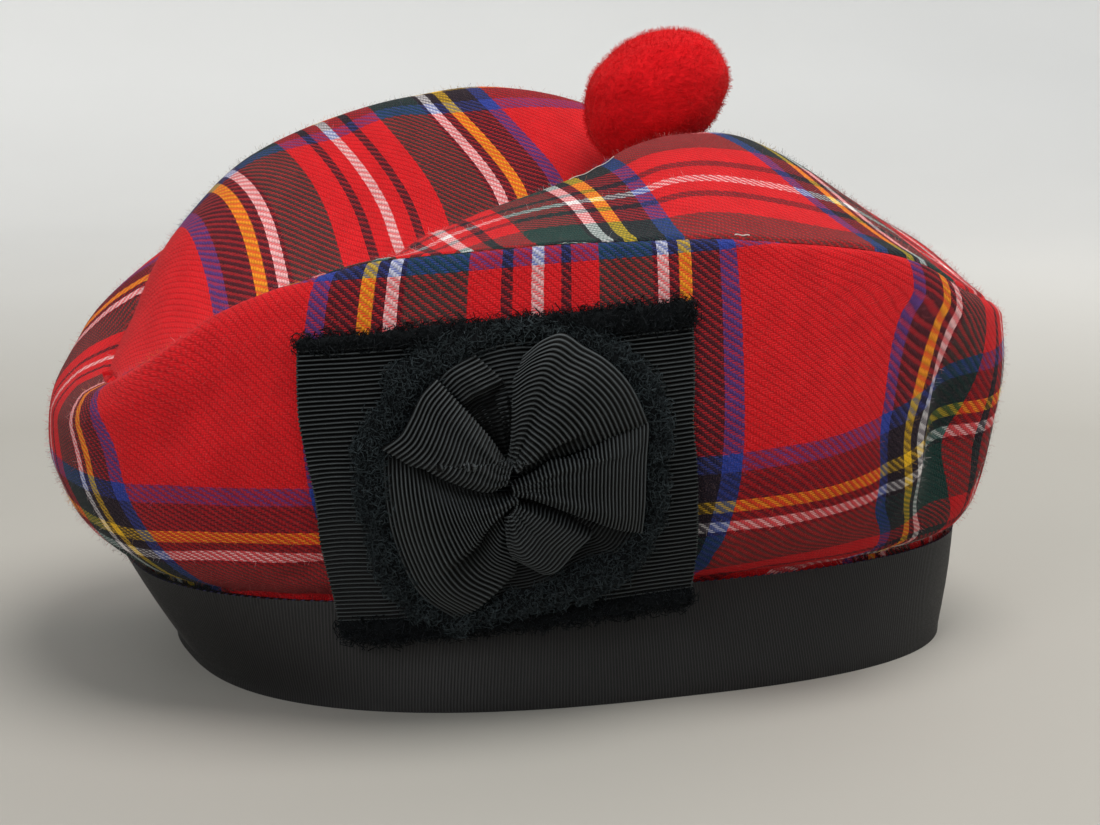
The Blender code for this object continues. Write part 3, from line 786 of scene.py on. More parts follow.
def dent(azimuth, height):
    """How far the wall stands out of its plain form, in millimetres."""
    total = 0.0
    for at, spread, level, reach, depth in WALL_DENTS:
        turn = (azimuth - radians(at) + pi) % (2 * pi) - pi
        fade = (turn / radians(spread)) ** 2 + ((height - level) / reach) ** 2
        total = total + DENT_DEPTH * depth * np.exp(-fade)
    return total * np.minimum(1.0, DENT_FADE * height * (1.0 - height))


def wall_base():
    """Height at which the side panel comes out over the band's top edge."""
    return RIBBON_HEIGHT + RIBBON_WALL / 2 + CLEARANCE


def wall_point(azimuth, height):
    """Point of the side panel's outer face at a share of its height."""
    azimuth, height = np.broadcast_arrays(azimuth, height)
    reach = [smooth_curve(WALL_SECTIONS, column, height) for column in (1, 2, 3)]
    x, y = oval(azimuth, *wall_reach(*reach, inset=hem_inset() * (1.0 - height)))
    grow = 1.0 + dent(azimuth, height) / np.hypot(x, y)
    low, top = wall_base(), seam_point(azimuth)[..., 2]
    pinch = seam_pinch(azimuth)[0] * np.clip((height - PINCH_START) / (1.0 - PINCH_START), 0.0, 1.0) ** 3
    return stacked(x * grow, y * grow + pinch, low + (top - low) * height)


def band_point(azimuth, share, inset=0.0):
    """Point of the band at a share of its height: upright at its rim, then flared."""
    rim = (RIM_LENGTH / 2, RIM_LENGTH / 2, RIM_WIDTH / 2)
    flare = np.maximum(0.0, share - RIM_UPRIGHT) / (1.0 - RIM_UPRIGHT)
    reach = [low + (high - low) * flare - inset for low, high in zip(rim, band_edge())]
    return stacked(*oval(azimuth, *reach), RIBBON_HEIGHT * share)


def outside(azimuth, level):
    """Point of the hat's outer face at a height: the band's ribbon, or the side panel above it."""
    azimuth, level = np.broadcast_arrays(azimuth, level)
    low, top = wall_base(), seam_point(azimuth)[..., 2]
    wall = wall_point(azimuth, np.clip((level - low) / (top - low), 0.0, 1.0))
    band = band_point(azimuth, level / RIBBON_HEIGHT)
    return np.where((level <= RIBBON_HEIGHT)[..., None], band, wall)


def panel_level():
    """Height of the cockade's middle."""
    return RIBBON_HEIGHT + PANEL_RISE * SEAM_RISE


def panel_turn(along):
    """Azimuth at a distance along the hat's side, measured from the cockade's middle."""
    steps = int(radians(PANEL_PLACE) / TURN_STEP)
    turns = radians(PANEL_PLACE) + TURN_STEP * np.arange(-steps, steps + 1)
    points = outside(turns, panel_level())[:, :2]
    lengths = np.linalg.norm(np.diff(points, axis=0), axis=1)
    path = np.concatenate(([0.0], np.cumsum(lengths)))
    return np.interp(along, path - path[steps], turns)


def panel_face(azimuth, level):
    """Point of the face that the cockade lies on: the side panel's belly, then straight down."""

    def eased(height):
        return sum(outside(azimuth, height + PANEL_EASE * k) for k in (-1, 0, 1)) / 3

    belly_level = RIBBON_HEIGHT + BELLY_RISE * SEAM_RISE
    foot_level = RIBBON_HEIGHT - FOOT_DROP
    belly, foot = eased(belly_level), band_point(azimuth, foot_level / RIBBON_HEIGHT)
    foot = foot + unit(foot * (1.0, 1.0, 0.0)) * FOOT_STANDOFF
    share = np.clip((belly_level - level) / (belly_level - foot_level), 0.0, None) ** FOOT_CURVE
    low = belly + (foot - belly) * share[..., None]
    low = stacked(low[..., 0], low[..., 1], level)
    return np.where((level >= belly_level)[..., None], eased(np.maximum(level, belly_level)), low)


def cockade_point(along, up, out=0.0):
    """Point over the side of the hat, from the cockade's middle toward the back, up and outward."""
    along, up, out = np.broadcast_arrays(along, up, out)
    azimuth = panel_turn(along)
    level = panel_level() + up + along * tan(radians(PANEL_TILT))
    here = panel_face(azimuth, level)
    side = panel_face(azimuth + TURN_STEP, level) - here
    rise = panel_face(azimuth, level + LEVEL_STEP) - here
    return here + unit(np.cross(side, rise)) * (out + CLEARANCE)[..., None]


def polar(angle, reach):
    """Place on the cockade at an angle and a distance from the rosette's middle."""
    return ROSETTE_CENTRE[0] + reach * np.cos(angle), ROSETTE_CENTRE[1] + reach * np.sin(angle)


def top_row(azimuth, columns):
    """Row of the top panel from its far seam (-1) to its near seam (1)."""
    near, far = seam_point(azimuth), seam_point(-azimuth)
    points = near + (far - near) * ((1.0 - columns) / 2)[:, None]
    place = seam_place(near[1])
    lines = [float(smooth_curve(TOP_SECTIONS, k, place)) for k in range(1, 7)]
    points[:, 2] += RIDGE_RISE * monotone(
        [-1.0, lines[4], lines[2], lines[0], 1.0], [0.0, lines[5], lines[3], lines[1], 0.0], columns
    )
    return points


def grid_normals(points):
    """Outward directions at the points of a grid."""
    return unit(np.cross(np.gradient(points, axis=1), np.gradient(points, axis=0)))


def path_up(points, axis=0):
    """Length along a grid's rows or columns, from their start."""
    steps = np.linalg.norm(np.diff(points, axis=axis), axis=-1)
    start = np.zeros_like(np.take(steps, [0], axis=axis))
    return np.concatenate((start, np.cumsum(steps, axis=axis)), axis=axis)


def rippled(points, scale, seed):
    """Soft noise from -1 to 1 at each point, with a wavelength in millimetres."""
    flat = points.reshape(-1, 3) / scale + seed
    values = [noise.noise(Vector(place)) for place in flat]
    return np.array(values).reshape(points.shape[:-1])


def new_piece(name, data):
    """Links a mesh, a curve, a lamp or a camera to the scene under a name."""
    obj = bpy.data.objects.new(name, data)
    bpy.context.scene.collection.objects.link(obj)
    return obj


def grid_piece(name, points, patterns=(), closed=False):
    """Open sheet through rows of points in millimetres, with vectors in millimetres kept on it."""
    rows, columns = points.shape[:2]
    index = np.arange(rows * columns).reshape(rows, columns)
    after = np.roll(index, -1, axis=1) if closed else index[:, 1:]
    here = index if closed else index[:, :-1]
    faces = np.stack((here[:-1], after[:-1], after[1:], here[1:]), axis=-1).reshape(-1, 4)
    mesh = bpy.data.meshes.new(name)
    mesh.from_pydata(placed(points.reshape(-1, 3)).tolist(), [], faces.tolist())
    for pattern, values in dict(patterns).items():
        layer = mesh.attributes.new(pattern, "FLOAT_VECTOR", "POINT")
        layer.data.foreach_set("vector", np.ascontiguousarray(values, np.float32).ravel())
    mesh.shade_smooth()
    return new_piece(name, mesh)


def thicken(obj, wall):
    """Gives an open sheet its thickness on its inner side."""
    solid = obj.modifiers.new("wall", "SOLIDIFY")
    solid.thickness = wall * MM
    solid.offset = -1.0
    solid.use_even_offset = False


def settle(obj):
    """Turns a piece and its modifiers into one plain mesh."""
    graph = bpy.context.evaluated_depsgraph_get()
    mesh = bpy.data.meshes.new_from_object(obj.evaluated_get(graph))
    obj.modifiers.clear()
    obj.data = mesh
    mesh.shade_smooth()
    mesh.set_sharp_from_angle(angle=radians(SHARP_ANGLE))
    return obj


def dress(obj, material, slot, *nodes):
    """Finishes a piece: its material, its body and the solids that it stands for. Its slot is not used."""
    obj.data.materials.clear()
    obj.data.materials.append(material)
    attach(obj, "root")
    if nodes:
        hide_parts(*nodes)
    return obj


class Graph:
    """Short calls that add nodes to a tree and link them."""

    def __init__(self, tree):
        self.tree = tree

    def node(self, kind, values=(), **settings):
        node = self.tree.nodes.new(kind)
        for key, value in settings.items():
            setattr(node, key, value)
        for key, value in dict(values).items():
            self.feed(node.inputs[key], value)
        return node

    def feed(self, socket, value):
        if isinstance(value, bpy.types.NodeSocket):
            self.tree.links.new(value, socket)
        else:
            socket.default_value = value

    def out(self, kind, values=(), **settings):
        """First output of a new node."""
        return self.node(kind, values, **settings).outputs[0]

    def math(self, operation, *values):
        return self.out("ShaderNodeMath", dict(enumerate(values)), operation=operation)

    def times(self, first, second):
        return self.math("MULTIPLY", first, second)

    def plus(self, first, second):
        return self.math("ADD", first, second)

    def minus(self, first, second):
        return self.math("SUBTRACT", first, second)

    def arch(self, value, span=1.0):
        """Rounded ridges from 0 to 1, one to each span of a value."""
        return self.math("ABSOLUTE", self.math("SINE", self.times(value, pi / span)))

    def vector(self, operation, *values):
        return self.out("ShaderNodeVectorMath", dict(enumerate(values)), operation=operation)

    def scaled(self, vector, scale):
        return self.out("ShaderNodeVectorMath", {0: vector, "Scale": scale}, operation="SCALE")

    def joined(self, x, y, z):
        return self.out("ShaderNodeCombineXYZ", {0: x, 1: y, 2: z})

    def parts(self, vector):
        return self.node("ShaderNodeSeparateXYZ", {0: vector}).outputs

    def pattern(self, name):
        """Vector that a piece's mesh keeps under a name."""
        return self.node("ShaderNodeAttribute", attribute_name=name).outputs["Vector"]

    def place(self):
        """Place in the frame, in metres."""
        return self.node("ShaderNodeTexCoord").outputs["Object"]

    def blend(self, share, first, last, mode="MIX"):
        values = {0: share, 6: first, 7: last}
        return self.node("ShaderNodeMix", values, data_type="RGBA", blend_type=mode).outputs[2]

    def between(self, value, low, high, to_low, to_high):
        values = {"Value": value, "From Min": low, "From Max": high, "To Min": to_low, "To Max": to_high}
        return self.out("ShaderNodeMapRange", values)

    def noise(self, vector, scale, detail, output="Fac"):
        values = {"Vector": vector, "Scale": scale, "Detail": detail}
        return self.node("ShaderNodeTexNoise", values).outputs[output]

    def group(self, tree, **values):
        named = {key.replace("_", " "): value for key, value in values.items()}
        return self.node("ShaderNodeGroup", named, node_tree=tree).outputs

    def ended(self, sink, **values):
        """The finished tree, with its outputs fed."""
        for key, value in values.items():
            self.feed(sink.inputs[key], value)
        return self.tree


def new_tree(name, kind, inputs, outputs):
    """Node tree, its first node and its last: an input has a number, or the kind of its socket."""
    tree = bpy.data.node_groups.new(name, kind)
    for label, value in inputs.items():
        plain = "Int" if isinstance(value, int) else "Float"
        socket = value if isinstance(value, str) else plain
        made = tree.interface.new_socket(label, in_out="INPUT", socket_type="NodeSocket" + socket)
        if socket != value:
            made.default_value = value
    for label, socket in outputs.items():
        tree.interface.new_socket(label, in_out="OUTPUT", socket_type="NodeSocket" + socket)
    graph = Graph(tree)
    return graph, graph.node("NodeGroupInput"), graph.node("NodeGroupOutput")


def once(name, maker, *values):
    """Node group or material of a name, made the first time that it is asked for."""
    for store in (bpy.data.node_groups, bpy.data.materials):
        if name in store:
            return store[name]
    return maker(name, *values)


def tartan_sett(name, settings):
    """Node group: the tartan's colour at a distance in millimetres from a white line."""
    graph, source, sink = new_tree(name, "ShaderNodeTree", {"Distance": 0.0}, {"Colour": "Color"})
    half = SETT[-1][0]
    fold = graph.math("PINGPONG", source.outputs["Distance"], half)
    ramp = graph.node("ShaderNodeValToRGB", {"Fac": graph.math("DIVIDE", fold, half)})
    stops = ramp.color_ramp
    stops.interpolation = "CONSTANT"
    start = 0.0
    for k, (end, colour) in enumerate(SETT):
        stop = stops.elements[0] if k == 0 else stops.elements.new(start / half)
        stop.color = (*getattr(settings, colour), 1.0)
        start = end
    stops.elements.remove(stops.elements[-1])
    return graph.ended(sink, Colour=ramp.outputs["Color"])


def twill_weave(name):
    """Node group: where a two-by-two twill's warp shows, how high its threads stand, and its lines."""
    inputs = {"Across": 0.0, "Up": 0.0, "End": 0.7, "Pick": 0.5}
    outputs = {"Warp": "Float", "Height": "Float", "Line": "Float"}
    graph, source, sink = new_tree(name, "ShaderNodeTree", inputs, outputs)
    across = graph.math("DIVIDE", source.outputs["Across"], source.outputs["End"])
    up = graph.math("DIVIDE", source.outputs["Up"], source.outputs["Pick"])
    column, row = graph.math("FLOOR", across), graph.math("FLOOR", up)
    warp_float = graph.math("POWER", graph.arch(graph.plus(column, up), 2.0), 0.4)
    weft_float = graph.math("POWER", graph.arch(graph.plus(across, row), 2.0), 0.4)
    round_warp = graph.times(graph.arch(across), warp_float)
    round_weft = graph.times(graph.arch(up), weft_float)
    over = graph.math("GREATER_THAN", graph.math("FLOORED_MODULO", graph.plus(column, row), 4.0), 1.5)
    weft = graph.times(over, graph.between(round_weft, 0.22, 0.55, 0.0, 1.0))
    height = graph.out("ShaderNodeMix", {0: over, 2: round_warp, 3: round_weft}, data_type="FLOAT")
    line = graph.arch(graph.minus(graph.plus(across, up), 0.5), 4.0)
    return graph.ended(sink, Warp=graph.minus(1.0, weft), Height=height, Line=line)


def fibre_mottle(name):
    """Node group: uneven shade and fine fibre relief, from a place in millimetres."""
    inputs = {"Place": "Vector", "Fibre size": 0.5, "Patch size": 12.0, "Depth": 0.2}
    outputs = {"Shade": "Float", "Relief": "Float"}
    graph, source, sink = new_tree(name, "ShaderNodeTree", inputs, outputs)
    value = source.outputs
    fibre, patch = (
        graph.noise(value["Place"], graph.math("DIVIDE", 1.0, value[size]), detail)
        for size, detail in (("Fibre size", 3.0), ("Patch size", 2.0))
    )
    mixed = graph.plus(graph.times(fibre, 0.65), graph.times(patch, 0.35))
    swing = graph.times(graph.minus(mixed, 0.5), value["Depth"])
    return graph.ended(sink, Shade=graph.plus(graph.times(swing, 2.0), 1.0), Relief=fibre)


def mottled(graph, place, fibre, patch, depth):
    """Uneven shade and fibre relief in a material, at a place in millimetres."""
    tree = once("fibre mottle", fibre_mottle)
    return graph.group(tree, Place=place, Fibre_size=fibre, Patch_size=patch, Depth=depth)


def new_material(name, roughness, sheen=0.0, sheen_tint=(1.0, 1.0, 1.0), specular=0.5):
    """Material with a plain shader, and the graph and shader to dress it with."""
    material = bpy.data.materials.new(name)
    material.use_nodes = True
    shader = material.node_tree.nodes["Principled BSDF"]
    shader.inputs["Roughness"].default_value = roughness
    shader.inputs["Sheen Weight"].default_value = sheen
    shader.inputs["Sheen Roughness"].default_value = 0.5
    shader.inputs["Sheen Tint"].default_value = (*sheen_tint, 1.0)
    shader.inputs["Specular IOR Level"].default_value = specular
    return material, Graph(material.node_tree), shader


def relief(graph, shader, height, distance, strength):
    """Feeds a height to the shader's normal."""
    bump = graph.node("ShaderNodeBump", {"Height": height, "Distance": distance, "Strength": strength})
    graph.feed(shader.inputs["Normal"], bump.outputs["Normal"])


def shaded(graph, colour, shade):
    """Colour made darker or lighter by a shade."""
    grey = graph.out("ShaderNodeCombineColor", {0: shade, 1: shade, 2: shade})
    return graph.blend(1.0, colour, grey, "MULTIPLY")


def stripes(graph, cloth, settings):
    """Colours of the warp and of the weft at a place on the cloth."""
    sett = once("tartan sett", tartan_sett, settings)
    return [graph.group(sett, Distance=cloth[axis])["Colour"] for axis in ("X", "Y")]


def tartan_cloth(name, settings):
    """Wool twill: warp and weft stripes, thread relief, painted shade in the weave's gaps and lines, pale
    fibres.
    """
    material, graph, shader = new_material(
        name, roughness=0.92, sheen=0.03, sheen_tint=(1.0, 0.6, 0.6), specular=0.10
    )
    cloth = graph.pattern("cloth")
    shift = graph.vector("SUBTRACT", graph.noise(cloth, 1.1, 2.0, "Color"), (0.5, 0.5, 0.5))
    parts = graph.parts(graph.vector("MULTIPLY_ADD", shift, (STRIPE_WANDER, STRIPE_WANDER, 0.0), cloth))
    warp, weft = stripes(graph, parts, settings)
    weave = graph.group(
        once("twill weave", twill_weave),
        Across=parts["X"],
        Up=parts["Y"],
        End=settings.warp_thread / MM,
        Pick=settings.weft_thread / MM,
    )
    share = graph.between(weave["Warp"], 0.0, 1.0, *WARP_SHARES)
    crossed = graph.blend(1.0, warp, weft, "MULTIPLY")
    crossed = graph.out("ShaderNodeGamma", {"Color": crossed, "Gamma": 0.5})
    colour = graph.blend(COLOUR_MIX, graph.blend(share, weft, warp), crossed)
    mottle = mottled(graph, cloth, 0.36, 6.0, 0.62)
    # painted shade where threads dip into the weave's gaps and twill lines, a little painted light on their
    # tops
    painted_gap_shade = graph.between(weave["Height"], 0.0, 1.0, *PAINTED_GAP_SHADES)
    lines = graph.between(weave["Line"], 0.0, 1.0, *PAINTED_LINE_SHADES)
    shade = graph.times(graph.times(painted_gap_shade, lines), mottle["Shade"])
    fibres = graph.between(graph.noise(cloth, 3.4, 2.0), 0.52, 0.74, 0.0, PALE_SHARE)
    colour = graph.blend(fibres, shaded(graph, colour, shade), PALE_FIBRE)
    graph.feed(shader.inputs["Base Color"], colour)
    height = graph.plus(graph.times(weave["Height"], 0.6), graph.times(weave["Line"], 0.6))
    height = graph.plus(height, graph.times(mottle["Relief"], 0.7))
    relief(graph, shader, height, 0.00020, 0.8)
    return material


def fuzz_fibres(name, settings):
    """Loose wool fibres that take the colour of the cloth under them."""
    material, graph, shader = new_material(name, roughness=0.95, sheen=0.05, specular=0.1)
    cloth = graph.pattern("cloth")
    warp, weft = stripes(graph, graph.parts(cloth), settings)
    mottle = mottled(graph, cloth, 0.4, 5.0, 0.6)
    pale = graph.blend(0.12, graph.blend(0.5, warp, weft), PALE_FUZZ)
    graph.feed(shader.inputs["Base Color"], shaded(graph, pale, mottle["Shade"]))
    return material


def ribbed_ribbon(name, colour, roughness, crest, narrow, shine):
    """Black ribbed ribbon: a painted highlight on the rib crests and painted shade between them, fine
    crossing threads, painted shade in its hollows, a low sheen.
    """
    material, graph, shader = new_material(name, roughness, specular=shine)
    ribbon = graph.pattern("ribbon")
    parts = graph.parts(ribbon)
    mottle = mottled(graph, ribbon, 0.5, 14.0, 0.45)
    # painted highlight on the ribs' crests, painted shade in the grooves between them
    crests = graph.between(graph.math("POWER", graph.arch(parts["Z"]), narrow), 0.0, 1.0, 0.03, crest)
    # painted shade: the colour is darker, and rougher, where the mesh marks a hollow
    painted_shade = graph.parts(graph.pattern("painted_shade"))["X"]
    shade = graph.times(graph.times(crests, graph.minus(1.0, painted_shade)), mottle["Shade"])
    graph.feed(shader.inputs["Base Color"], shaded(graph, (*colour, 1.0), shade))
    rough = graph.between(mottle["Relief"], 0.3, 0.7, roughness - 0.08, roughness + 0.1)
    graph.feed(shader.inputs["Roughness"], graph.math("MULTIPLY_ADD", painted_shade, 0.45, rough))
    threads = graph.times(graph.arch(parts["Y"], CROSS_THREAD), 0.5)
    relief(graph, shader, graph.plus(threads, graph.times(mottle["Relief"], 0.4)), 0.00006, 0.7)
    return material


def loose_threads(name, colour, lift):
    """Matt loose threads, mottled from dark to a little paler."""
    material, graph, shader = new_material(
        name, roughness=0.92, sheen=0.04, sheen_tint=(0.7, 0.85, 1.0), specular=0.12
    )
    mottle = mottled(graph, graph.scaled(graph.place(), 1.0 / MM), 0.8, 5.0, lift)
    graph.feed(shader.inputs["Base Color"], shaded(graph, (*colour, 1.0), mottle["Shade"]))
    relief(graph, shader, mottle["Relief"], 0.0003, 0.8)
    return material


def pom_wool(name, colour):
    """Felted red wool with painted shade in the hollows between its tufts."""
    material, graph, shader = new_material(
        name, roughness=0.95, sheen=0.12, sheen_tint=(1.0, 0.35, 0.30), specular=0.08
    )
    place = graph.scaled(graph.place(), 1.0 / MM)
    combed = {"Vector": place, "Rotation": (0.5, 0.0, 0.3), "Scale": (1.0, 0.35, 1.0)}
    mottle = mottled(graph, graph.out("ShaderNodeMapping", combed), 0.8, 4.5, 0.50)
    graph.feed(shader.inputs["Base Color"], shaded(graph, (*colour, 1.0), mottle["Shade"]))
    relief(graph, shader, mottle["Relief"], 0.0004, 0.7)
    return material


def even_floor(name, colour):
    """Pale floor with a faint unevenness, paler far away."""
    material, graph, shader = new_material(name, roughness=0.75)
    place = graph.place()
    soft = graph.between(graph.noise(place, 3.0, 3.0), 0.3, 0.7, 0.98, 1.02)
    far = graph.node("ShaderNodeVectorMath", {0: place}, operation="LENGTH").outputs["Value"]
    pale = graph.blend(graph.between(far, 0.35, 1.5, 0.0, 1.0), (*colour, 1.0), (0.93, 0.93, 0.92, 1.0))
    graph.feed(shader.inputs["Base Color"], shaded(graph, pale, soft))
    return material


def add_tree(obj, tree, **values):
    """Gives a piece a geometry tree, with its inputs set before it is evaluated."""
    modifier = obj.modifiers.new(tree.name, "NODES")
    modifier.node_group = tree
    for item in tree.interface.items_tree:
        key = item.name.lower()
        if item.item_type == "SOCKET" and item.in_out == "INPUT" and key in values:
            modifier[item.identifier] = values[key]


def rib_tree(name):
    """Geometry tree: raises rounded ribs, counted by the third part of the ribbon's pattern."""
    inputs = {"Geometry": "Geometry", "Depth": 0.0003}
    graph, source, sink = new_tree(name, "GeometryNodeTree", inputs, {"Geometry": "Geometry"})
    pattern = graph.node("GeometryNodeInputNamedAttribute", {"Name": "ribbon"}, data_type="FLOAT_VECTOR")
    count = graph.parts(pattern.outputs["Attribute"])["Z"]
    lift = graph.times(graph.arch(count), source.outputs["Depth"])
    offset = graph.scaled(graph.out("GeometryNodeInputNormal"), lift)
    moved = {"Geometry": source.outputs["Geometry"], "Offset": offset}
    return graph.ended(sink, Geometry=graph.out("GeometryNodeSetPosition", moved))


def turned(graph, rotation, angles):
    """Rotation turned further, by angles about its own axes."""
    turn = graph.out("FunctionNodeEulerToRotation", {0: angles})
    return graph.out("FunctionNodeRotateRotation", {0: rotation, 1: turn}, rotation_space="LOCAL")


def laid(graph, sink, material, **instances):
    """The finished geometry tree, with its instances laid on points, made real and given a material."""
    placed_ones = graph.out("GeometryNodeInstanceOnPoints", instances)
    real = graph.out("GeometryNodeRealizeInstances", {"Geometry": placed_ones})
    done = graph.out("GeometryNodeSetMaterial", {"Geometry": real, "Material": material})
    return graph.ended(sink, Geometry=done)


def fibre_tree(name):
    """Geometry tree: curled fibres scattered over a surface, in place of it."""
    inputs = {
        "Geometry": "Geometry",
        "Density": 1000.0,
        "Length": 0.001,
        "Radius": 0.00003,
        "Bend": 0.3,
        "Turns": 0.3,
        "Lean": 0.6,
        "Steps": 4,
        "Seed": 1,
        "Material": "Material",
    }
    graph, source, sink = new_tree(name, "GeometryNodeTree", inputs, {"Geometry": "Geometry"})
    value = source.outputs
    spread = graph.node(
        "GeometryNodeDistributePointsOnFaces",
        {"Mesh": value["Geometry"], "Density": value["Density"], "Seed": value["Seed"]},
    )
    spiral = {
        "Resolution": value["Steps"],
        "Rotations": value["Turns"],
        "Start Radius": 0.0,
        "End Radius": graph.times(value["Length"], value["Bend"]),
        "Height": value["Length"],
    }
    along = graph.node("GeometryNodeSplineParameter").outputs["Factor"]
    thin = graph.between(along, 0.0, 1.0, 1.0, 0.25)
    curl = graph.out("GeometryNodeCurveSpiral", spiral)
    tapered = graph.out("GeometryNodeSetCurveRadius", {"Curve": curl, "Radius": thin})
    ring = graph.out("GeometryNodeCurvePrimitiveCircle", {"Resolution": 3, "Radius": value["Radius"]})
    fibre = graph.out("GeometryNodeCurveToMesh", {"Curve": tapered, "Profile Curve": ring})
    lean = value["Lean"]
    back = graph.times(lean, -1.0)
    ranges = {0: graph.joined(back, back, 0.0), 1: graph.joined(lean, lean, 2 * pi), "Seed": value["Seed"]}
    any_turn = graph.out("FunctionNodeRandomValue", ranges, data_type="FLOAT_VECTOR")
    size = graph.node("FunctionNodeRandomValue", {"Min": 0.45, "Max": 1.25, "Seed": 7}, data_type="FLOAT")
    return laid(
        graph,
        sink,
        value["Material"],
        Points=spread.outputs["Points"],
        Instance=fibre,
        Rotation=turned(graph, spread.outputs["Rotation"], any_turn),
        Scale=size.outputs["Value"],
    )


def stitch_tree(name):
    """Geometry tree: short rounded stitches laid along a line of edges, in place of it."""
    inputs = {
        "Geometry": "Geometry",
        "Pitch": 0.002,
        "Length": 0.0012,
        "Radius": 0.00015,
        "Lean": 0.0,
        "Material": "Material",
    }
    graph, source, sink = new_tree(name, "GeometryNodeTree", inputs, {"Geometry": "Geometry"})
    value = source.outputs
    curve = graph.out("GeometryNodeMeshToCurve", {"Mesh": value["Geometry"]})
    spaced = {"Curve": curve, "Length": value["Pitch"]}
    points = graph.node("GeometryNodeCurveToPoints", spaced, mode="LENGTH")
    ball = graph.out("GeometryNodeMeshIcoSphere", {"Radius": 1.0, "Subdivisions": 1})
    size = graph.joined(value["Radius"], value["Radius"], graph.times(value["Length"], 0.5))
    return laid(
        graph,
        sink,
        value["Material"],
        Points=points.outputs["Points"],
        Instance=graph.out("GeometryNodeTransform", {"Geometry": ball, "Scale": size}),
        Rotation=turned(graph, points.outputs["Rotation"], graph.joined(value["Lean"], 0.0, 0.0)),
    )


def stitched(name, points, material, **sizes):
    """Row of stitches along points in millimetres."""
    mesh = bpy.data.meshes.new(name)
    mesh.from_pydata(placed(points).tolist(), [(k, k + 1) for k in range(len(points) - 1)], [])
    obj = new_piece(name, mesh)
    add_tree(obj, once("stitches along a line", stitch_tree), material=material, **sizes)
    return settle(obj)


def fibres_on(obj, name, material, **sizes):
    """Fibres over a piece's surface, as a piece of their own."""
    fuzz = new_piece(name, obj.data.copy())
    add_tree(fuzz, once("scattered fibres", fibre_tree), material=material, **sizes)
    return settle(fuzz)


def thread_piece(name, points, radius):
    """Round thread through points in millimetres."""
    data = bpy.data.curves.new(name, "CURVE")
    data.dimensions = "3D"
    data.bevel_depth = radius * MM
    data.bevel_resolution = 1
    data.use_fill_caps = True
    spline = data.splines.new("POLY")
    spline.points.add(len(points) - 1)
    for point, place in zip(spline.points, placed(points)):
        point.co = (*place, 1.0)
    curve = new_piece(name, data)
    mesh = bpy.data.meshes.new_from_object(curve.evaluated_get(bpy.context.evaluated_depsgraph_get()))
    bpy.data.objects.remove(curve)
    obj = new_piece(name, mesh)
    mesh.shade_smooth()
    return obj


def ribbon_sheet(name, points, ribbon, depth, wall, closed=False, painted_shade=0.0):
    """Ribbed ribbon through a grid of points, with its thickness and the painted shade of its hollows."""
    # how strongly each point is painted dark, as painted shade
    hollows = np.broadcast_to(painted_shade, points.shape[:2])
    obj = grid_piece(name, points, {"ribbon": ribbon, "painted_shade": stacked(hollows, 0.0, 0.0)}, closed)
    thicken(obj, wall)
    add_tree(obj, once("raised ribs", rib_tree), depth=depth)
    return settle(obj)


def make_headband(settings):
    """The ribbed ribbon round the hat's opening, wider at its top than at its rim."""
    fine = np.linspace(-pi, pi, 3601)
    girth = path_up(band_point(fine, 0.5)[None], axis=1)[0]
    steps = int(girth[-1] / (settings.band_pitch / MM)) * FEW_RIB_STEPS
    along = np.linspace(0.0, girth[-1], steps + 1)
    shares = np.array((0.0, RIM_UPRIGHT, 0.25, 0.45, 0.65, 0.85, 0.97, 1.0))[:, None]
    points = band_point(np.interp(along, girth, fine)[None, :], shares)
    count = np.arange(steps + 1)
    wave = np.interp(count, count[::40], rippled(points[-1, ::40], *BAND_WAVES))
    points = points + grid_normals(points) * (np.sin(pi * shares) * (0.35 + 0.5 * wave))[..., None]
    ribbon = stacked(along, shares * RIBBON_HEIGHT, count / FEW_RIB_STEPS)
    obj = ribbon_sheet("headband_ribbon", points, ribbon, settings.band_depth, BAND_SHEET)
    material = once("band ribbon", ribbed_ribbon, settings.band, *BAND_FINISH_AND_PAINTED_CRESTS)
    dress(obj, material, "ribbon", "headband")
    line = band_point(np.linspace(-pi, pi, 400), 1.0) + (0.0, 0.0, STITCH_LIFT)
    thread = once("stitch thread", loose_threads, STITCH_THREAD, 0.8)
    dress(stitched("band_stitches", line, thread, **BAND_STITCHES), thread, "ribbon")


def seam_inward(azimuth):
    """Direction into the hat, midway between the two panels that meet at the seam."""
    return unit(stacked(-np.sin(azimuth), np.cos(azimuth), -0.85))


def seam_tucked(points, to_seam, inward):
    """A panel's points, drawn in where the panels meet at the seam."""
    tuck = SEAM_TUCK * np.clip(1.0 - to_seam / SEAM_ROUND, 0.0, 1.0) ** 2
    return points + inward * tuck[..., None]


def tartan_panel(name, node, points, cloth, settings):
    """Tartan cloth through a grid of points, in place of its solid."""
    obj = grid_piece(name, points, {"cloth": cloth})
    thicken(obj, CLOTH_WALL)
    settle(obj)
    return dress(obj, once("tartan cloth", tartan_cloth, settings), "tartan", node)


def creases(azimuth, height, along, up):
    """Depth of the side panel's small creases in millimetres, with a row for each height."""
    total = np.zeros(up.shape)
    for at, level, length, width, turn, depth in WALL_CREASES:
        column = int(np.argmin(np.abs(azimuth - radians(at))))
        side = along - np.interp(radians(at), azimuth, along)
        rise = up - np.interp(level, height, up[:, column])
        far = (side * cos(radians(turn)) + rise * sin(radians(turn))) / length
        near = (rise * cos(radians(turn)) - side * sin(radians(turn))) / width
        total += depth * np.exp(-far ** 2 - near ** 2)
    return total


def stripe_lean(azimuth, height):
    """How far the upright stripes lean toward the back, in millimetres, with a row for each height."""
    columns = range(1, len(LEAN_HEIGHTS) + 1)
    leans = np.stack([smooth_curve(STRIPE_LEANS, column, np.degrees(azimuth)) for column in columns])
    return np.stack([monotone(LEAN_HEIGHTS, lean, height) for lean in leans.T], axis=-1)


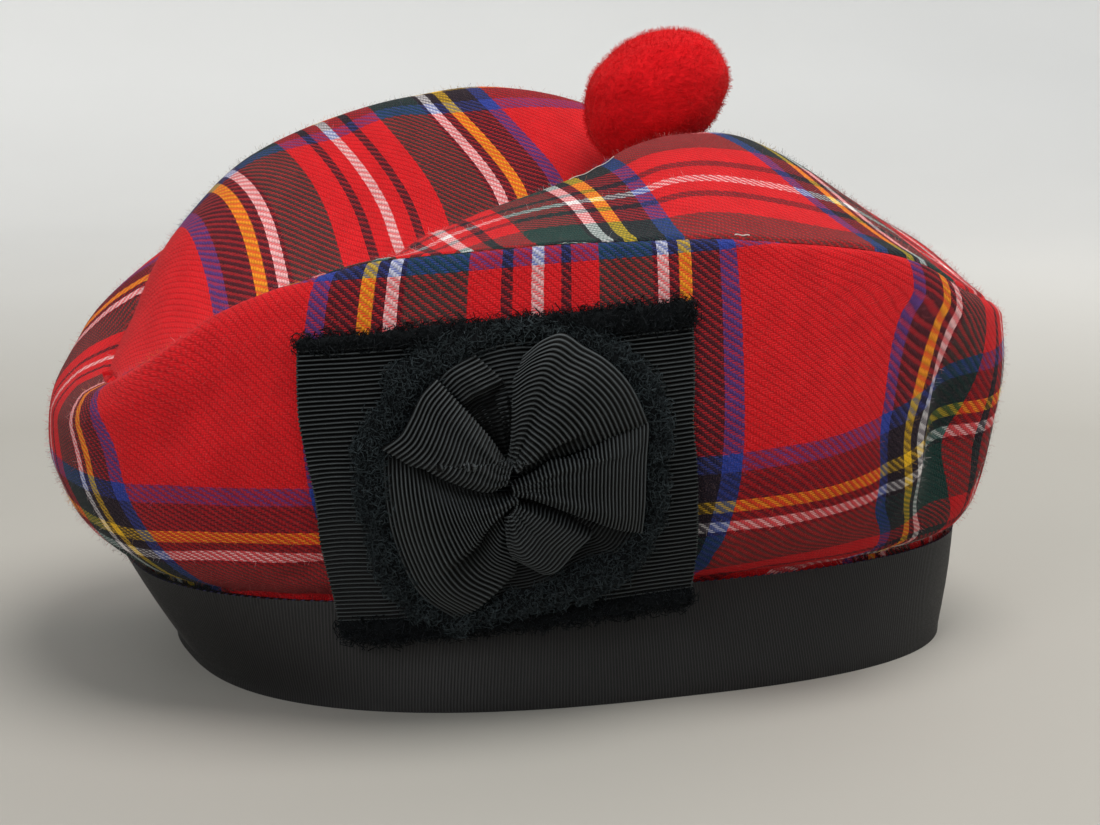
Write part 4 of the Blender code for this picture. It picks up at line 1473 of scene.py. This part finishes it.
def make_side_panel(settings):
    """The bulging tartan wall, from its hem inside the band to the seam."""
    azimuth = np.linspace(-pi, pi, SIDE_COLUMNS + 1)
    even = np.linspace(0.0, 1.0, SIDE_ROWS)
    # rows lie closer together near the band and nearest of all by the seam, where the cloth turns in
    by_seam = 1.0 - np.array((0.022, 0.013, 0.0065, 0.002))
    height = np.unique(np.concatenate((even * 0.7 + 0.3 * (0.5 - 0.5 * np.cos(pi * even)), by_seam)))
    wall = wall_point(azimuth[None, :], height[:, None])
    hem_levels = np.array((1.0 - HEM_DEPTH / RIBBON_HEIGHT, 0.93))
    hem = band_point(azimuth[None, :], hem_levels[:, None], hem_inset())
    path = path_up(wall)
    girth = path_up(wall_point(azimuth[None, :], GIRTH_HEIGHT), axis=1)[0]
    along = girth - np.interp(0.0, azimuth, girth)
    to_seam = path[-1][None, :] - path
    near_band = np.exp(-((path / BAND_PUCKER_REACH) ** 2)) * np.minimum(1.0, path / 2.0)
    near_seam = np.exp(-((to_seam / SEAM_PUCKER_REACH) ** 2))
    steady = np.minimum(1.0, to_seam / SEAM_STEADY)
    puckers = rippled(wall * (1.0, 1.0, 0.4), *SIDE_PUCKERS)
    depth = creases(azimuth, height, along, path) * steady
    depth += puckers * (BAND_PUCKER * near_band + SEAM_PUCKER * near_seam)
    depth += SIDE_WAVE * rippled(wall, *SIDE_WAVES) * steady
    shaped = wall + grid_normals(wall) * depth[..., None]
    points = np.concatenate((hem, seam_tucked(shaped, to_seam, seam_inward(azimuth)[None])))
    level = smooth_curve(LEVEL_STRIPE, 1, np.abs(np.degrees(azimuth)))
    across = (along[None, :] + stripe_lean(azimuth, height) - STRIPE_ORIGIN) / ALONG_SCALE
    up = LEVEL_STRIPE_SETT + (path - level[None, :]) / UP_SCALE
    drop = np.linalg.norm(hem - wall[:1], axis=-1) / UP_SCALE
    across = np.concatenate((across[:1], across[:1], across))
    cloth = stacked(across, np.concatenate((up[:1] - drop, up)), 0.0)
    obj = tartan_panel("side_panel_cloth", "side_panel", points, cloth, settings)
    add_fuzz(points, cloth, "side_panel_fuzz", settings, 11)


def add_fuzz(points, cloth, name, settings, seed):
    """Loose wool fibres over the outer face of a tartan panel."""
    face = grid_piece(name + "_face", points[::2, ::2], {"cloth": cloth[::2, ::2]})
    material = once("wool fuzz", fuzz_fibres, settings)
    sizes = {"density": settings.fuzz_density, "length": settings.fuzz_length, "seed": seed}
    fuzz = fibres_on(face, name, material, **sizes, **WOOL_FUZZ)
    bpy.data.objects.remove(face)
    dress(fuzz, material, "tartan")


def top_panel_rows():
    """Rows of the top panel from front to back, each from the far seam to the near seam."""
    even = np.linspace(-1.0, 1.0, TOP_COLUMNS)
    by_seam = np.array((0.006, 0.014, 0.024))
    columns = 0.6 * even + 0.4 * np.sin(pi / 2 * even)
    columns = np.unique(np.concatenate((columns, 1.0 - by_seam, by_seam - 1.0)))
    turns = np.radians(np.linspace(0.4, 179.6, TOP_ROWS))
    return np.stack([top_row(turn, columns) for turn in turns])


def cross_distance(points):
    """Distance in the sett at points of the top panel, measured along the hat."""
    places = [smooth_curve(CROSS_STRIPE_PLACES, k + 1, points[..., 0]) for k in range(4)]
    y = points[..., 1]
    distance = CROSS_STRIPES[0] + (y - places[0]) * CROSS_FRONT_RATE / ALONG_SCALE
    for k in range(3):
        share = (y - places[k]) / (places[k + 1] - places[k])
        inside = CROSS_STRIPES[k] + (CROSS_STRIPES[k + 1] - CROSS_STRIPES[k]) * share
        distance = np.where(y > places[k], inside, distance)
    past = CROSS_STRIPES[3] + (y - places[3]) * CROSS_BACK_RATE / ALONG_SCALE
    return np.where(y > places[3], past, distance)


def length_distance(points):
    """Distance in the sett at points of the top panel, measured across the hat."""
    path = path_up(points, axis=1)
    out = np.empty(points.shape[:2])
    for k, row in enumerate(points):
        line = float(smooth_curve(LENGTH_STRIPE, 1, row[0, 1]))
        edge = row[-1, 0]
        here = np.interp(min(line, edge), row[:, 0], path[k]) + max(0.0, line - edge)
        out[k] = (here - path[k]) / float(smooth_curve(LENGTH_STRIPE, 2, row[0, 1]))
    return out


def make_top_panel(settings):
    """The oval tartan top, with its creases and valley."""
    plain = top_panel_rows()
    turns = np.linspace(-pi, pi, 1441)
    seam = seam_point(turns)
    tree = KDTree(len(seam))
    for k, point in enumerate(seam):
        tree.insert(point, k)
    tree.balance()
    found = [tree.find(point) for point in plain.reshape(-1, 3)]
    nearest, to_seam = (np.array([hit[k] for hit in found]).reshape(plain.shape[:2]) for k in (1, 2))
    steady = np.minimum(1.0, to_seam / SEAM_STEADY)
    depth = rippled(plain * (1.0, 1.0, 0.3), *TOP_PUCKERS) * SEAM_PUCKER
    depth = depth * np.exp(-((to_seam / SEAM_PUCKER_REACH) ** 2))
    depth += TOP_WAVE * rippled(plain, *TOP_WAVES) * steady
    shaped = plain + grid_normals(plain) * depth[..., None]
    points = seam_tucked(shaped, to_seam, seam_inward(turns)[nearest])
    cloth = stacked(cross_distance(plain), length_distance(plain), 0.0)
    obj = tartan_panel("top_panel_cloth", "top_panel", points, cloth, settings)
    add_fuzz(points, cloth, "top_panel_fuzz", settings, 23)


def make_pom(settings):
    """The felted wool pom, fuller at its back, with a lobe that droops to the front."""
    low, high = (np.array(corner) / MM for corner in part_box("pom"))
    middle = Vector((low + high) / 2)
    work = bmesh.new()
    bmesh.ops.create_icosphere(work, subdivisions=6, radius=1.0)
    lean = Matrix.Rotation(radians(POM_LEAN), 4, "X")
    for vert in work.verts:
        away = vert.co.normalized()
        full = 1.0 + 0.03 * away.y + 0.05 * away.z
        lobe, shoulder = (max(0.0, away.dot(way)) ** 3 for way in (POM_LOBE, POM_SHOULDER))
        soft = noise.noise(away * 2.3 + Vector((4.0, 1.0, 7.0)))
        tuft, felt = noise.noise(away * 9.0), noise.noise(away * 24.0)
        radius = full * (0.96 + 0.16 * lobe + 0.06 * shoulder + 0.04 * soft + 0.012 * tuft + 0.008 * felt)
        shape = Vector([part * half for part, half in zip(away, POM_HALVES)]) * radius
        shape.rotate(lean)
        vert.co = (middle + shape + POM_SHIFT) * MM
    mesh = bpy.data.meshes.new("pom_core")
    work.to_mesh(mesh)
    work.free()
    mesh.shade_smooth()
    core = new_piece("pom_core", mesh)
    wool = once("pom wool", pom_wool, settings.wool)
    density = settings.fibres / sum(polygon.area for polygon in mesh.polygons)
    fuzz = fibres_on(core, "pom_fibres", wool, density=density, length=settings.fibre_length, **POM_FUZZ)
    dress(core, wool, "pom_wool", "pom")
    dress(fuzz, wool, "pom_wool")


def panel_along(share, up):
    """Place along the hat at a share of the cockade panel's width, from -1 to 1."""
    front, back = (smooth_curve(PANEL_EDGES, column, up) for column in (1, 2))
    return front + (back - front) * (share + 1.0) / 2


def make_cockade_panel(settings):
    """The wide ribbon that backs the rosette, its woven side edges and its frayed ends."""
    ribs = int(PANEL_HEIGHT / (settings.rib_pitch / MM))
    ups = np.linspace(-PANEL_HEIGHT / 2, PANEL_HEIGHT / 2, ribs * RIB_STEPS + 1)
    share, up = np.meshgrid(np.linspace(-1.0, 1.0, 91), ups)
    along = panel_along(share, up)
    inside = np.cos(pi / 2 * share) * np.cos(pi * up / PANEL_HEIGHT)
    # the ribs sag in a wave over the band and dip by the front edge, and wander a little all over
    sag = 0.9 * np.sin(along / 15.0) * np.exp(-(((up + 26.0) / 10.0) ** 2))
    sag += 0.8 * np.exp(-(((along + 38.0) / 7.0) ** 2)) * np.cos(pi * up / PANEL_HEIGHT)
    sag += 0.55 * rippled(stacked(along, up * 1.6, 0.0), *PANEL_SAGS)
    swell = 0.45 * rippled(stacked(along, up, 0.0), *PANEL_SWELLS) * inside ** 0.5
    points = cockade_point(along, up + sag * inside ** 0.5, PANEL_WALL + swell)
    count = np.arange(len(ups))[:, None] / RIB_STEPS
    obj = ribbon_sheet("cockade_ribbon", points, stacked(up, along, count), settings.rib_depth, PANEL_SHEET)
    material = once("cockade ribbon", ribbed_ribbon, settings.cockade, *PANEL_FINISH_AND_PAINTED_CRESTS)
    dress(obj, material, "ribbon", "cockade_panel")
    selvedge = once("selvedge thread", loose_threads, SELVEDGE_THREAD, 1.2)
    up = np.linspace(-31.5, 31.5, 140)
    for side, name in ((-1.0, "front"), (1.0, "back")):
        edge = cockade_point(panel_along(side, up), up, PANEL_WALL)
        loops = stitched(f"cockade_edge_{name}", edge, selvedge, pitch=settings.rib_pitch, **SELVEDGE_LOOPS)
        dress(loops, selvedge, "ribbon")
    places = np.linspace(-1.0, 1.0, 120)
    for name, side, column in (("panel_fray_top", 1.0, 1), ("panel_fray_bottom", -1.0, 3)):
        up, width = (smooth_curve(PANEL_FRAYS, k, places) for k in (column, column + 1))
        path = (panel_along(places, up), up)
        make_fray(name, path, (0.0, side), width, PANEL_WALL * 0.5, settings, settings.fray)


def make_fray(name, path, away, width, height, settings, colour):
    """Frayed ribbon edge: a ragged matt core with curled threads over it."""
    along, up = path
    ragged, tufts = (
        np.array([noise.noise(Vector((a / size, u / size, seed))) for a, u in zip(along, up)])
        for size, seed in ((3.1, 2.0), (1.1, 6.0))
    )
    reach = width * (1.0 + 0.22 * ragged + 0.12 * tufts)
    rise = FRAY_RISE * (1.0 + 0.35 * ragged + 0.25 * tufts)
    out_x, out_y = away
    rows = []
    for depth, stand in FRAY_SECTION:
        place = (along + out_x * reach * depth, up + out_y * reach * depth)
        rows.append(cockade_point(*place, height + rise * stand))
    points = np.stack(rows)
    closed = np.ndim(out_x) > 0
    obj = grid_piece(f"{name}_core", points, closed=closed)
    fill_ends(obj, len(FRAY_SECTION), points.shape[1], closed)
    core = once("fray core", loose_threads, settings.fray, 0.9)
    material = once(f"{name} threads", loose_threads, colour, 2.6)
    sizes = {"density": settings.fray_density, "length": settings.fray_length}
    threads = fibres_on(obj, f"{name}_threads", material, **sizes, **FRAY_CURLS)
    dress(obj, core, "frayed_ribbon", name)
    dress(threads, material, "frayed_ribbon")


def fill_ends(obj, rows, columns, closed):
    """Closes the underside and the two ends of a fray's core, with its faces outward."""
    work = bmesh.new()
    work.from_mesh(obj.data)
    work.verts.ensure_lookup_table()
    last = (rows - 1) * columns
    for k in range(columns if closed else columns - 1):
        after = (k + 1) % columns
        work.faces.new([work.verts[i] for i in (k, after, last + after, last + k)])
    if not closed:
        for end in (0, columns - 1):
            work.faces.new([work.verts[row * columns + end] for row in range(rows)])
    bmesh.ops.recalc_face_normals(work, faces=work.faces)
    work.to_mesh(obj.data)
    work.free()
    obj.data.shade_smooth()


def smooth_path(points, count):
    """Even points along a smooth line through a few places."""
    points = np.asarray(points, float)
    lengths = np.concatenate(([0.0], np.cumsum(np.linalg.norm(np.diff(points, axis=0), axis=1))))
    places = np.linspace(0.0, lengths[-1], count)
    return np.stack([monotone(lengths, points[:, k], places) for k in (0, 1)], axis=-1)


def petal_patch(petal, rows, columns):
    """Places of a petal's grid, from its root to its tip and from its first side to its last."""
    first = smooth_path(petal["first"], rows)[:, None]
    last = smooth_path(petal["last"], rows)[:, None]
    tip = smooth_path(petal["tip"], columns)[None]
    s = np.linspace(0.0, 1.0, rows)[:, None, None]
    t = np.linspace(0.0, 1.0, columns)[None, :, None]
    root = first[:1] + (last[:1] - first[:1]) * t
    corners = (1 - s) * root + s * (first[-1:] + (last[-1:] - first[-1:]) * t)
    return (1 - t) * first + t * last + (1 - s) * root + s * tip - corners


def petal_height(petal, s, t):
    """How high a petal stands over the rosette's base, and how strong the painted shade in its hollows is.

    s runs from its root to its tip and t from its first side to its last. Its folds are soft ridges,
    and at the edge of a layer the ribbon drops to the part under it, which is painted dark there as
    painted shade. A painted shadow may lie across the middle, and a petal low over the base is painted
    dark.
    """
    places, heights = zip(*petal["profile"])
    first, last = petal["edges"]
    edge = first + (last - first) * t
    out = monotone(places, heights, s) * (edge + (1.0 - edge) * (4.0 * t * (1.0 - t)) ** 0.6)
    # painted shadow across the petal's middle
    dark = petal["painted_shadow"] * np.exp(-(((s - 0.50) / 0.14) ** 2)) * np.ones_like(t)
    for at, drift, height, spread in petal["folds"]:
        long = np.sin(pi * np.clip(s * 1.05, 0.0, 1.0)) ** 0.5
        out = out + height * long * np.exp(-(((t - at - drift * s) / spread) ** 2))
    for at, drift, drop, spread, reach in petal["layers"]:
        away = t - at - drift * s
        side = np.clip(away / spread, -1.0, 1.0)
        fade = np.clip((reach + 0.15 - s) / 0.3, 0.0, 1.0)
        fade = fade * fade * (3.0 - 2.0 * fade)
        out = out - drop * (0.5 + 0.75 * side - 0.25 * side ** 3) * fade
        # painted shade on the low side of a layer's edge
        low = np.clip(away * np.sign(drop) / spread, 0.0, 1.0)
        dark = np.maximum(dark, 0.92 * low * fade * np.exp(-((away / 0.16) ** 2)))
    # painted shade where the petal lies low over the base
    dark = np.maximum(dark, np.clip(1.0 - out / PAINTED_SHADE_RISE, 0.0, 1.0) ** 0.7)
    return np.maximum(out, 0.15) + 0.35 * np.cos(2 * pi * t * 5.0) * (1.0 - s) ** 3, dark


def make_petal(petal, settings):
    """One folded ribbon petal: gathered at its root, arched, and low at its tip."""
    length = np.mean([np.linalg.norm(np.subtract(petal[k][-1], petal[k][0])) for k in ("first", "last")])
    ribs = max(6, int(round(length * 1.06 / (settings.rib_pitch / MM))))
    rows, columns = ribs * RIB_STEPS + 1, PETAL_COLUMNS
    places = petal_patch(petal, rows, columns)
    s = np.linspace(0.0, 1.0, rows)[:, None]
    t = np.linspace(0.0, 1.0, columns)[None, :]
    out, painted_shade = petal_height(petal, s, t)
    under = PANEL_WALL + ROSETTE_WALL + CLEARANCE
    points = cockade_point(places[..., 0], places[..., 1], under + out)
    ribbon = stacked(s * length, t * 24.0, np.arange(rows)[:, None] / RIB_STEPS)
    down, across = places[-1, 0] - places[0, 0], places[-1, -1] - places[-1, 0]
    if down[0] * across[1] > down[1] * across[0]:
        points, ribbon, painted_shade = points[:, ::-1], ribbon[:, ::-1], painted_shade[:, ::-1]
    name = f"{petal['name']}_ribbon"
    obj = ribbon_sheet(name, points, ribbon, settings.rib_depth, PETAL_SHEET, painted_shade=painted_shade)
    material = once("petal ribbon", ribbed_ribbon, settings.cockade, *PETAL_FINISH_AND_PAINTED_CRESTS)
    dress(obj, material, "ribbon", petal["name"])


def border_reach(angle, column):
    """Inner or outer reach of the rosette's frayed border at an angle in radians."""
    first = BORDER[0][0]
    rows = (*BORDER, (first + 360.0, *BORDER[0][1:]))
    return smooth_curve(rows, column, (np.degrees(angle) - first) % 360.0 + first)


def make_rosette_base(settings):
    """The gathered ribbon disc under the petals, with its frayed border."""
    steps = int((ROSETTE_REACH - DISC_HOLE) * 0.8 / (settings.rib_pitch / MM)) * FEW_RIB_STEPS
    angles = np.linspace(0.0, 2 * pi, DISC_SPOKES, endpoint=False)[None, :]
    share = np.linspace(0.0, 1.0, steps + 1)[:, None]
    reach = DISC_HOLE + (border_reach(angles, 1) + DISC_OVERLAP - DISC_HOLE) * share
    height = PANEL_WALL + ROSETTE_WALL + CLEARANCE + 0.25 * np.sin(angles * 9.0) * share
    points = cockade_point(*polar(angles, reach), height)
    ribbon = stacked(reach, angles * 20.0, np.arange(steps + 1)[:, None] / FEW_RIB_STEPS)
    points, ribbon = points[:, ::-1], ribbon[:, ::-1]
    # the base lies dark under the petals, but for its top, which the light reaches
    open_top = np.exp(-(((np.degrees(angles) - 88.0) / 34.0) ** 2))
    painted_shade = (0.62 - 0.62 * open_top)[:, ::-1]
    obj = ribbon_sheet(
        "rosette_base_ribbon", points, ribbon, settings.rib_depth, PETAL_SHEET, closed=True, painted_shade=painted_shade
    )
    material = once("petal ribbon", ribbed_ribbon, settings.cockade, *PETAL_FINISH_AND_PAINTED_CRESTS)
    dress(obj, material, "ribbon", "rosette_base")
    turns = np.linspace(0.0, 2 * pi, 230, endpoint=False)
    inner, outer = border_reach(turns, 1), border_reach(turns, 2)
    away = (np.cos(turns), np.sin(turns))
    path = polar(turns, inner)
    make_fray("rosette_fray", path, away, outer - inner, PANEL_WALL + 0.6, settings, settings.border)


def make_loose_threads():
    """A pale loose thread on the top panel's crest and a tuft of lint on the seam."""
    material = once("pale thread", loose_threads, LINT, 0.4)
    crest = []
    for turn in np.radians(np.linspace(83.0, 91.0, 16)):
        near = float(smooth_curve(TOP_SECTIONS, 1, seam_place(seam_point(turn)[1])))
        crest.append(top_row(turn, np.array((near,)))[0] + (0.0, 0.0, 0.35))
    crest = np.array(crest)
    crest[:, 2] += 0.16 * np.sin(np.arange(16) * 0.9)
    seam = np.array([seam_point(turn) for turn in np.radians(np.linspace(95.6, 98.0, 8))])
    seam += (1.4, 0.0, 0.55)
    seam[:, 2] += 0.10 * np.sin(np.arange(8) * 1.3)
    for name, points, radius in (("loose_thread_crest", crest, 0.10), ("lint_seam", seam, 0.16)):
        dress(thread_piece(name, points, radius), material, "tartan")


def make_floor(settings):
    """Pale floor that sweeps up all round, with its faces toward the object."""
    profile = [(0.6, 0.0), (FLOOR_REACH, 0.0)]
    profile += [
        (FLOOR_REACH + FLOOR_SWEEP * sin(a), FLOOR_SWEEP - FLOOR_SWEEP * cos(a))
        for a in np.linspace(0.1, pi / 2, 10)
    ]
    profile += [(FLOOR_REACH + FLOOR_SWEEP, FLOOR_TOP)]
    verts = [(0.0, 0.0, 0.0)]
    faces = []
    for ring, (radius, height) in enumerate(profile):
        low, high = 1 + (ring - 1) * FLOOR_SIDES, 1 + ring * FLOOR_SIDES
        for k in range(FLOOR_SIDES):
            turn = 2 * pi * k / FLOOR_SIDES
            verts.append((radius * cos(turn), radius * sin(turn), height))
            after = (k + 1) % FLOOR_SIDES
            inner = (low + k, high + k, high + after, low + after)
            faces.append(inner if ring else (0, 1 + k, 1 + after))
    mesh = bpy.data.meshes.new("floor")
    mesh.from_pydata(verts, [], faces)
    mesh.shade_smooth()
    mesh.materials.append(once("pale floor", even_floor, settings.floor))
    new_piece("floor", mesh)


def make_stage(settings):
    """The floor, soft lamps, light from all round and the camera."""
    make_floor(settings)
    world = bpy.data.worlds.new("soft light")
    world.use_nodes = True
    background = world.node_tree.nodes["Background"]
    background.inputs["Color"].default_value = SKY
    background.inputs["Strength"].default_value = settings.sky
    bpy.context.scene.world = world
    bpy.context.scene.view_settings.view_transform = "Standard"
    for name, place, aim, size, share, colour in LAMPS:
        light = bpy.data.lights.new(name, "AREA")
        light.shape = "DISK"
        light.size = size
        light.energy = settings.lamp * share
        light.color = colour
        lamp = new_piece(name, light)
        lamp.location = place
        lamp.rotation_euler = (Vector(aim) - Vector(place)).to_track_quat("-Z", "Y").to_euler()
    place_camera()


def place_camera():
    """The camera at the photograph's angle."""
    data = bpy.data.cameras.new("camera")
    data.lens = CAMERA_LENS
    data.sensor_width = CAMERA_SENSOR
    data.sensor_fit = "HORIZONTAL"
    data.clip_start = 0.01
    turn, fall = radians(CAMERA_TURN), radians(CAMERA_FALL)
    back = Vector((cos(turn) * cos(fall), -sin(turn) * cos(fall), sin(fall)))
    right = Vector((sin(turn), cos(turn), 0.0))
    view = Matrix((right, back.cross(right), back)).transposed().to_4x4()
    view.translation = Vector(placed(CAMERA_PLACE))
    camera = new_piece("camera", data)
    camera.matrix_world = view
    bpy.context.scene.camera = camera


class BONNET_OT_stage(bpy.types.Operator):
    """Adds the floor, the lamps and the camera."""

    bl_idname = "bonnet.stage"
    bl_label = "Stage"

    def execute(self, context):
        make_stage(context.scene.bonnet_stage)
        return {"FINISHED"}


class BONNET_OT_headband(bpy.types.Operator):
    """Makes the ribbon band round the hat's opening."""

    bl_idname = "bonnet.headband"
    bl_label = "Headband"

    def execute(self, context):
        make_headband(context.scene.bonnet_ribbon)
        return {"FINISHED"}


class BONNET_OT_side_panel(bpy.types.Operator):
    """Makes the bulging tartan side panel."""

    bl_idname = "bonnet.side_panel"
    bl_label = "Side panel"

    def execute(self, context):
        make_side_panel(context.scene.bonnet_tartan)
        return {"FINISHED"}


class BONNET_OT_top_panel(bpy.types.Operator):
    """Makes the creased tartan top panel."""

    bl_idname = "bonnet.top_panel"
    bl_label = "Top panel"

    def execute(self, context):
        make_top_panel(context.scene.bonnet_tartan)
        make_loose_threads()
        return {"FINISHED"}


class BONNET_OT_pom(bpy.types.Operator):
    """Makes the wool pom."""

    bl_idname = "bonnet.pom"
    bl_label = "Pom"

    def execute(self, context):
        make_pom(context.scene.bonnet_pom)
        return {"FINISHED"}


class BONNET_OT_cockade_panel(bpy.types.Operator):
    """Makes the wide ribbon behind the rosette, with its frayed ends."""

    bl_idname = "bonnet.cockade_panel"
    bl_label = "Cockade panel"

    def execute(self, context):
        make_cockade_panel(context.scene.bonnet_ribbon)
        return {"FINISHED"}


class BONNET_OT_rosette(bpy.types.Operator):
    """Makes the rosette's base, its frayed border and its petals."""

    bl_idname = "bonnet.rosette"
    bl_label = "Rosette"

    def execute(self, context):
        make_rosette_base(context.scene.bonnet_ribbon)
        for petal in PETALS:
            make_petal(petal, context.scene.bonnet_ribbon)
        return {"FINISHED"}


STEPS = (
    BONNET_OT_stage,
    BONNET_OT_headband,
    BONNET_OT_side_panel,
    BONNET_OT_top_panel,
    BONNET_OT_pom,
    BONNET_OT_cockade_panel,
    BONNET_OT_rosette,
)


class BONNET_PT_panel(bpy.types.Panel):
    """Lists the bonnet's sizes, colours and pieces."""

    bl_idname = "BONNET_PT_panel"
    bl_label = "Tartan bonnet"
    bl_space_type = "VIEW_3D"
    bl_region_type = "UI"
    bl_category = "Bonnet"

    def draw(self, context):
        for settings in ("bonnet_tartan", "bonnet_ribbon", "bonnet_pom", "bonnet_stage"):
            box = self.layout.box()
            group = getattr(context.scene, settings)
            for name in group.__annotations__:
                box.prop(group, name)
        for step in STEPS:
            self.layout.operator(step.bl_idname)


SETTINGS = {
    "bonnet_tartan": TartanSettings,
    "bonnet_ribbon": RibbonSettings,
    "bonnet_pom": PomSettings,
    "bonnet_stage": StageSettings,
}
CLASSES = (*SETTINGS.values(), *STEPS, BONNET_PT_panel)


def register():
    """Adds the classes and the scene's settings."""
    for cls in CLASSES:
        bpy.utils.register_class(cls)
    for name, cls in SETTINGS.items():
        setattr(bpy.types.Scene, name, PointerProperty(type=cls))


def unregister():
    """Takes the settings and the classes away again."""
    for name in SETTINGS:
        delattr(bpy.types.Scene, name)
    for cls in reversed(CLASSES):
        bpy.utils.unregister_class(cls)


def main():
    """Makes every piece."""
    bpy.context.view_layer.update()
    register()
    for step in STEPS:
        family, name = step.bl_idname.split(".")
        getattr(getattr(bpy.ops, family), name)()


if __name__ == "__main__":
    main()
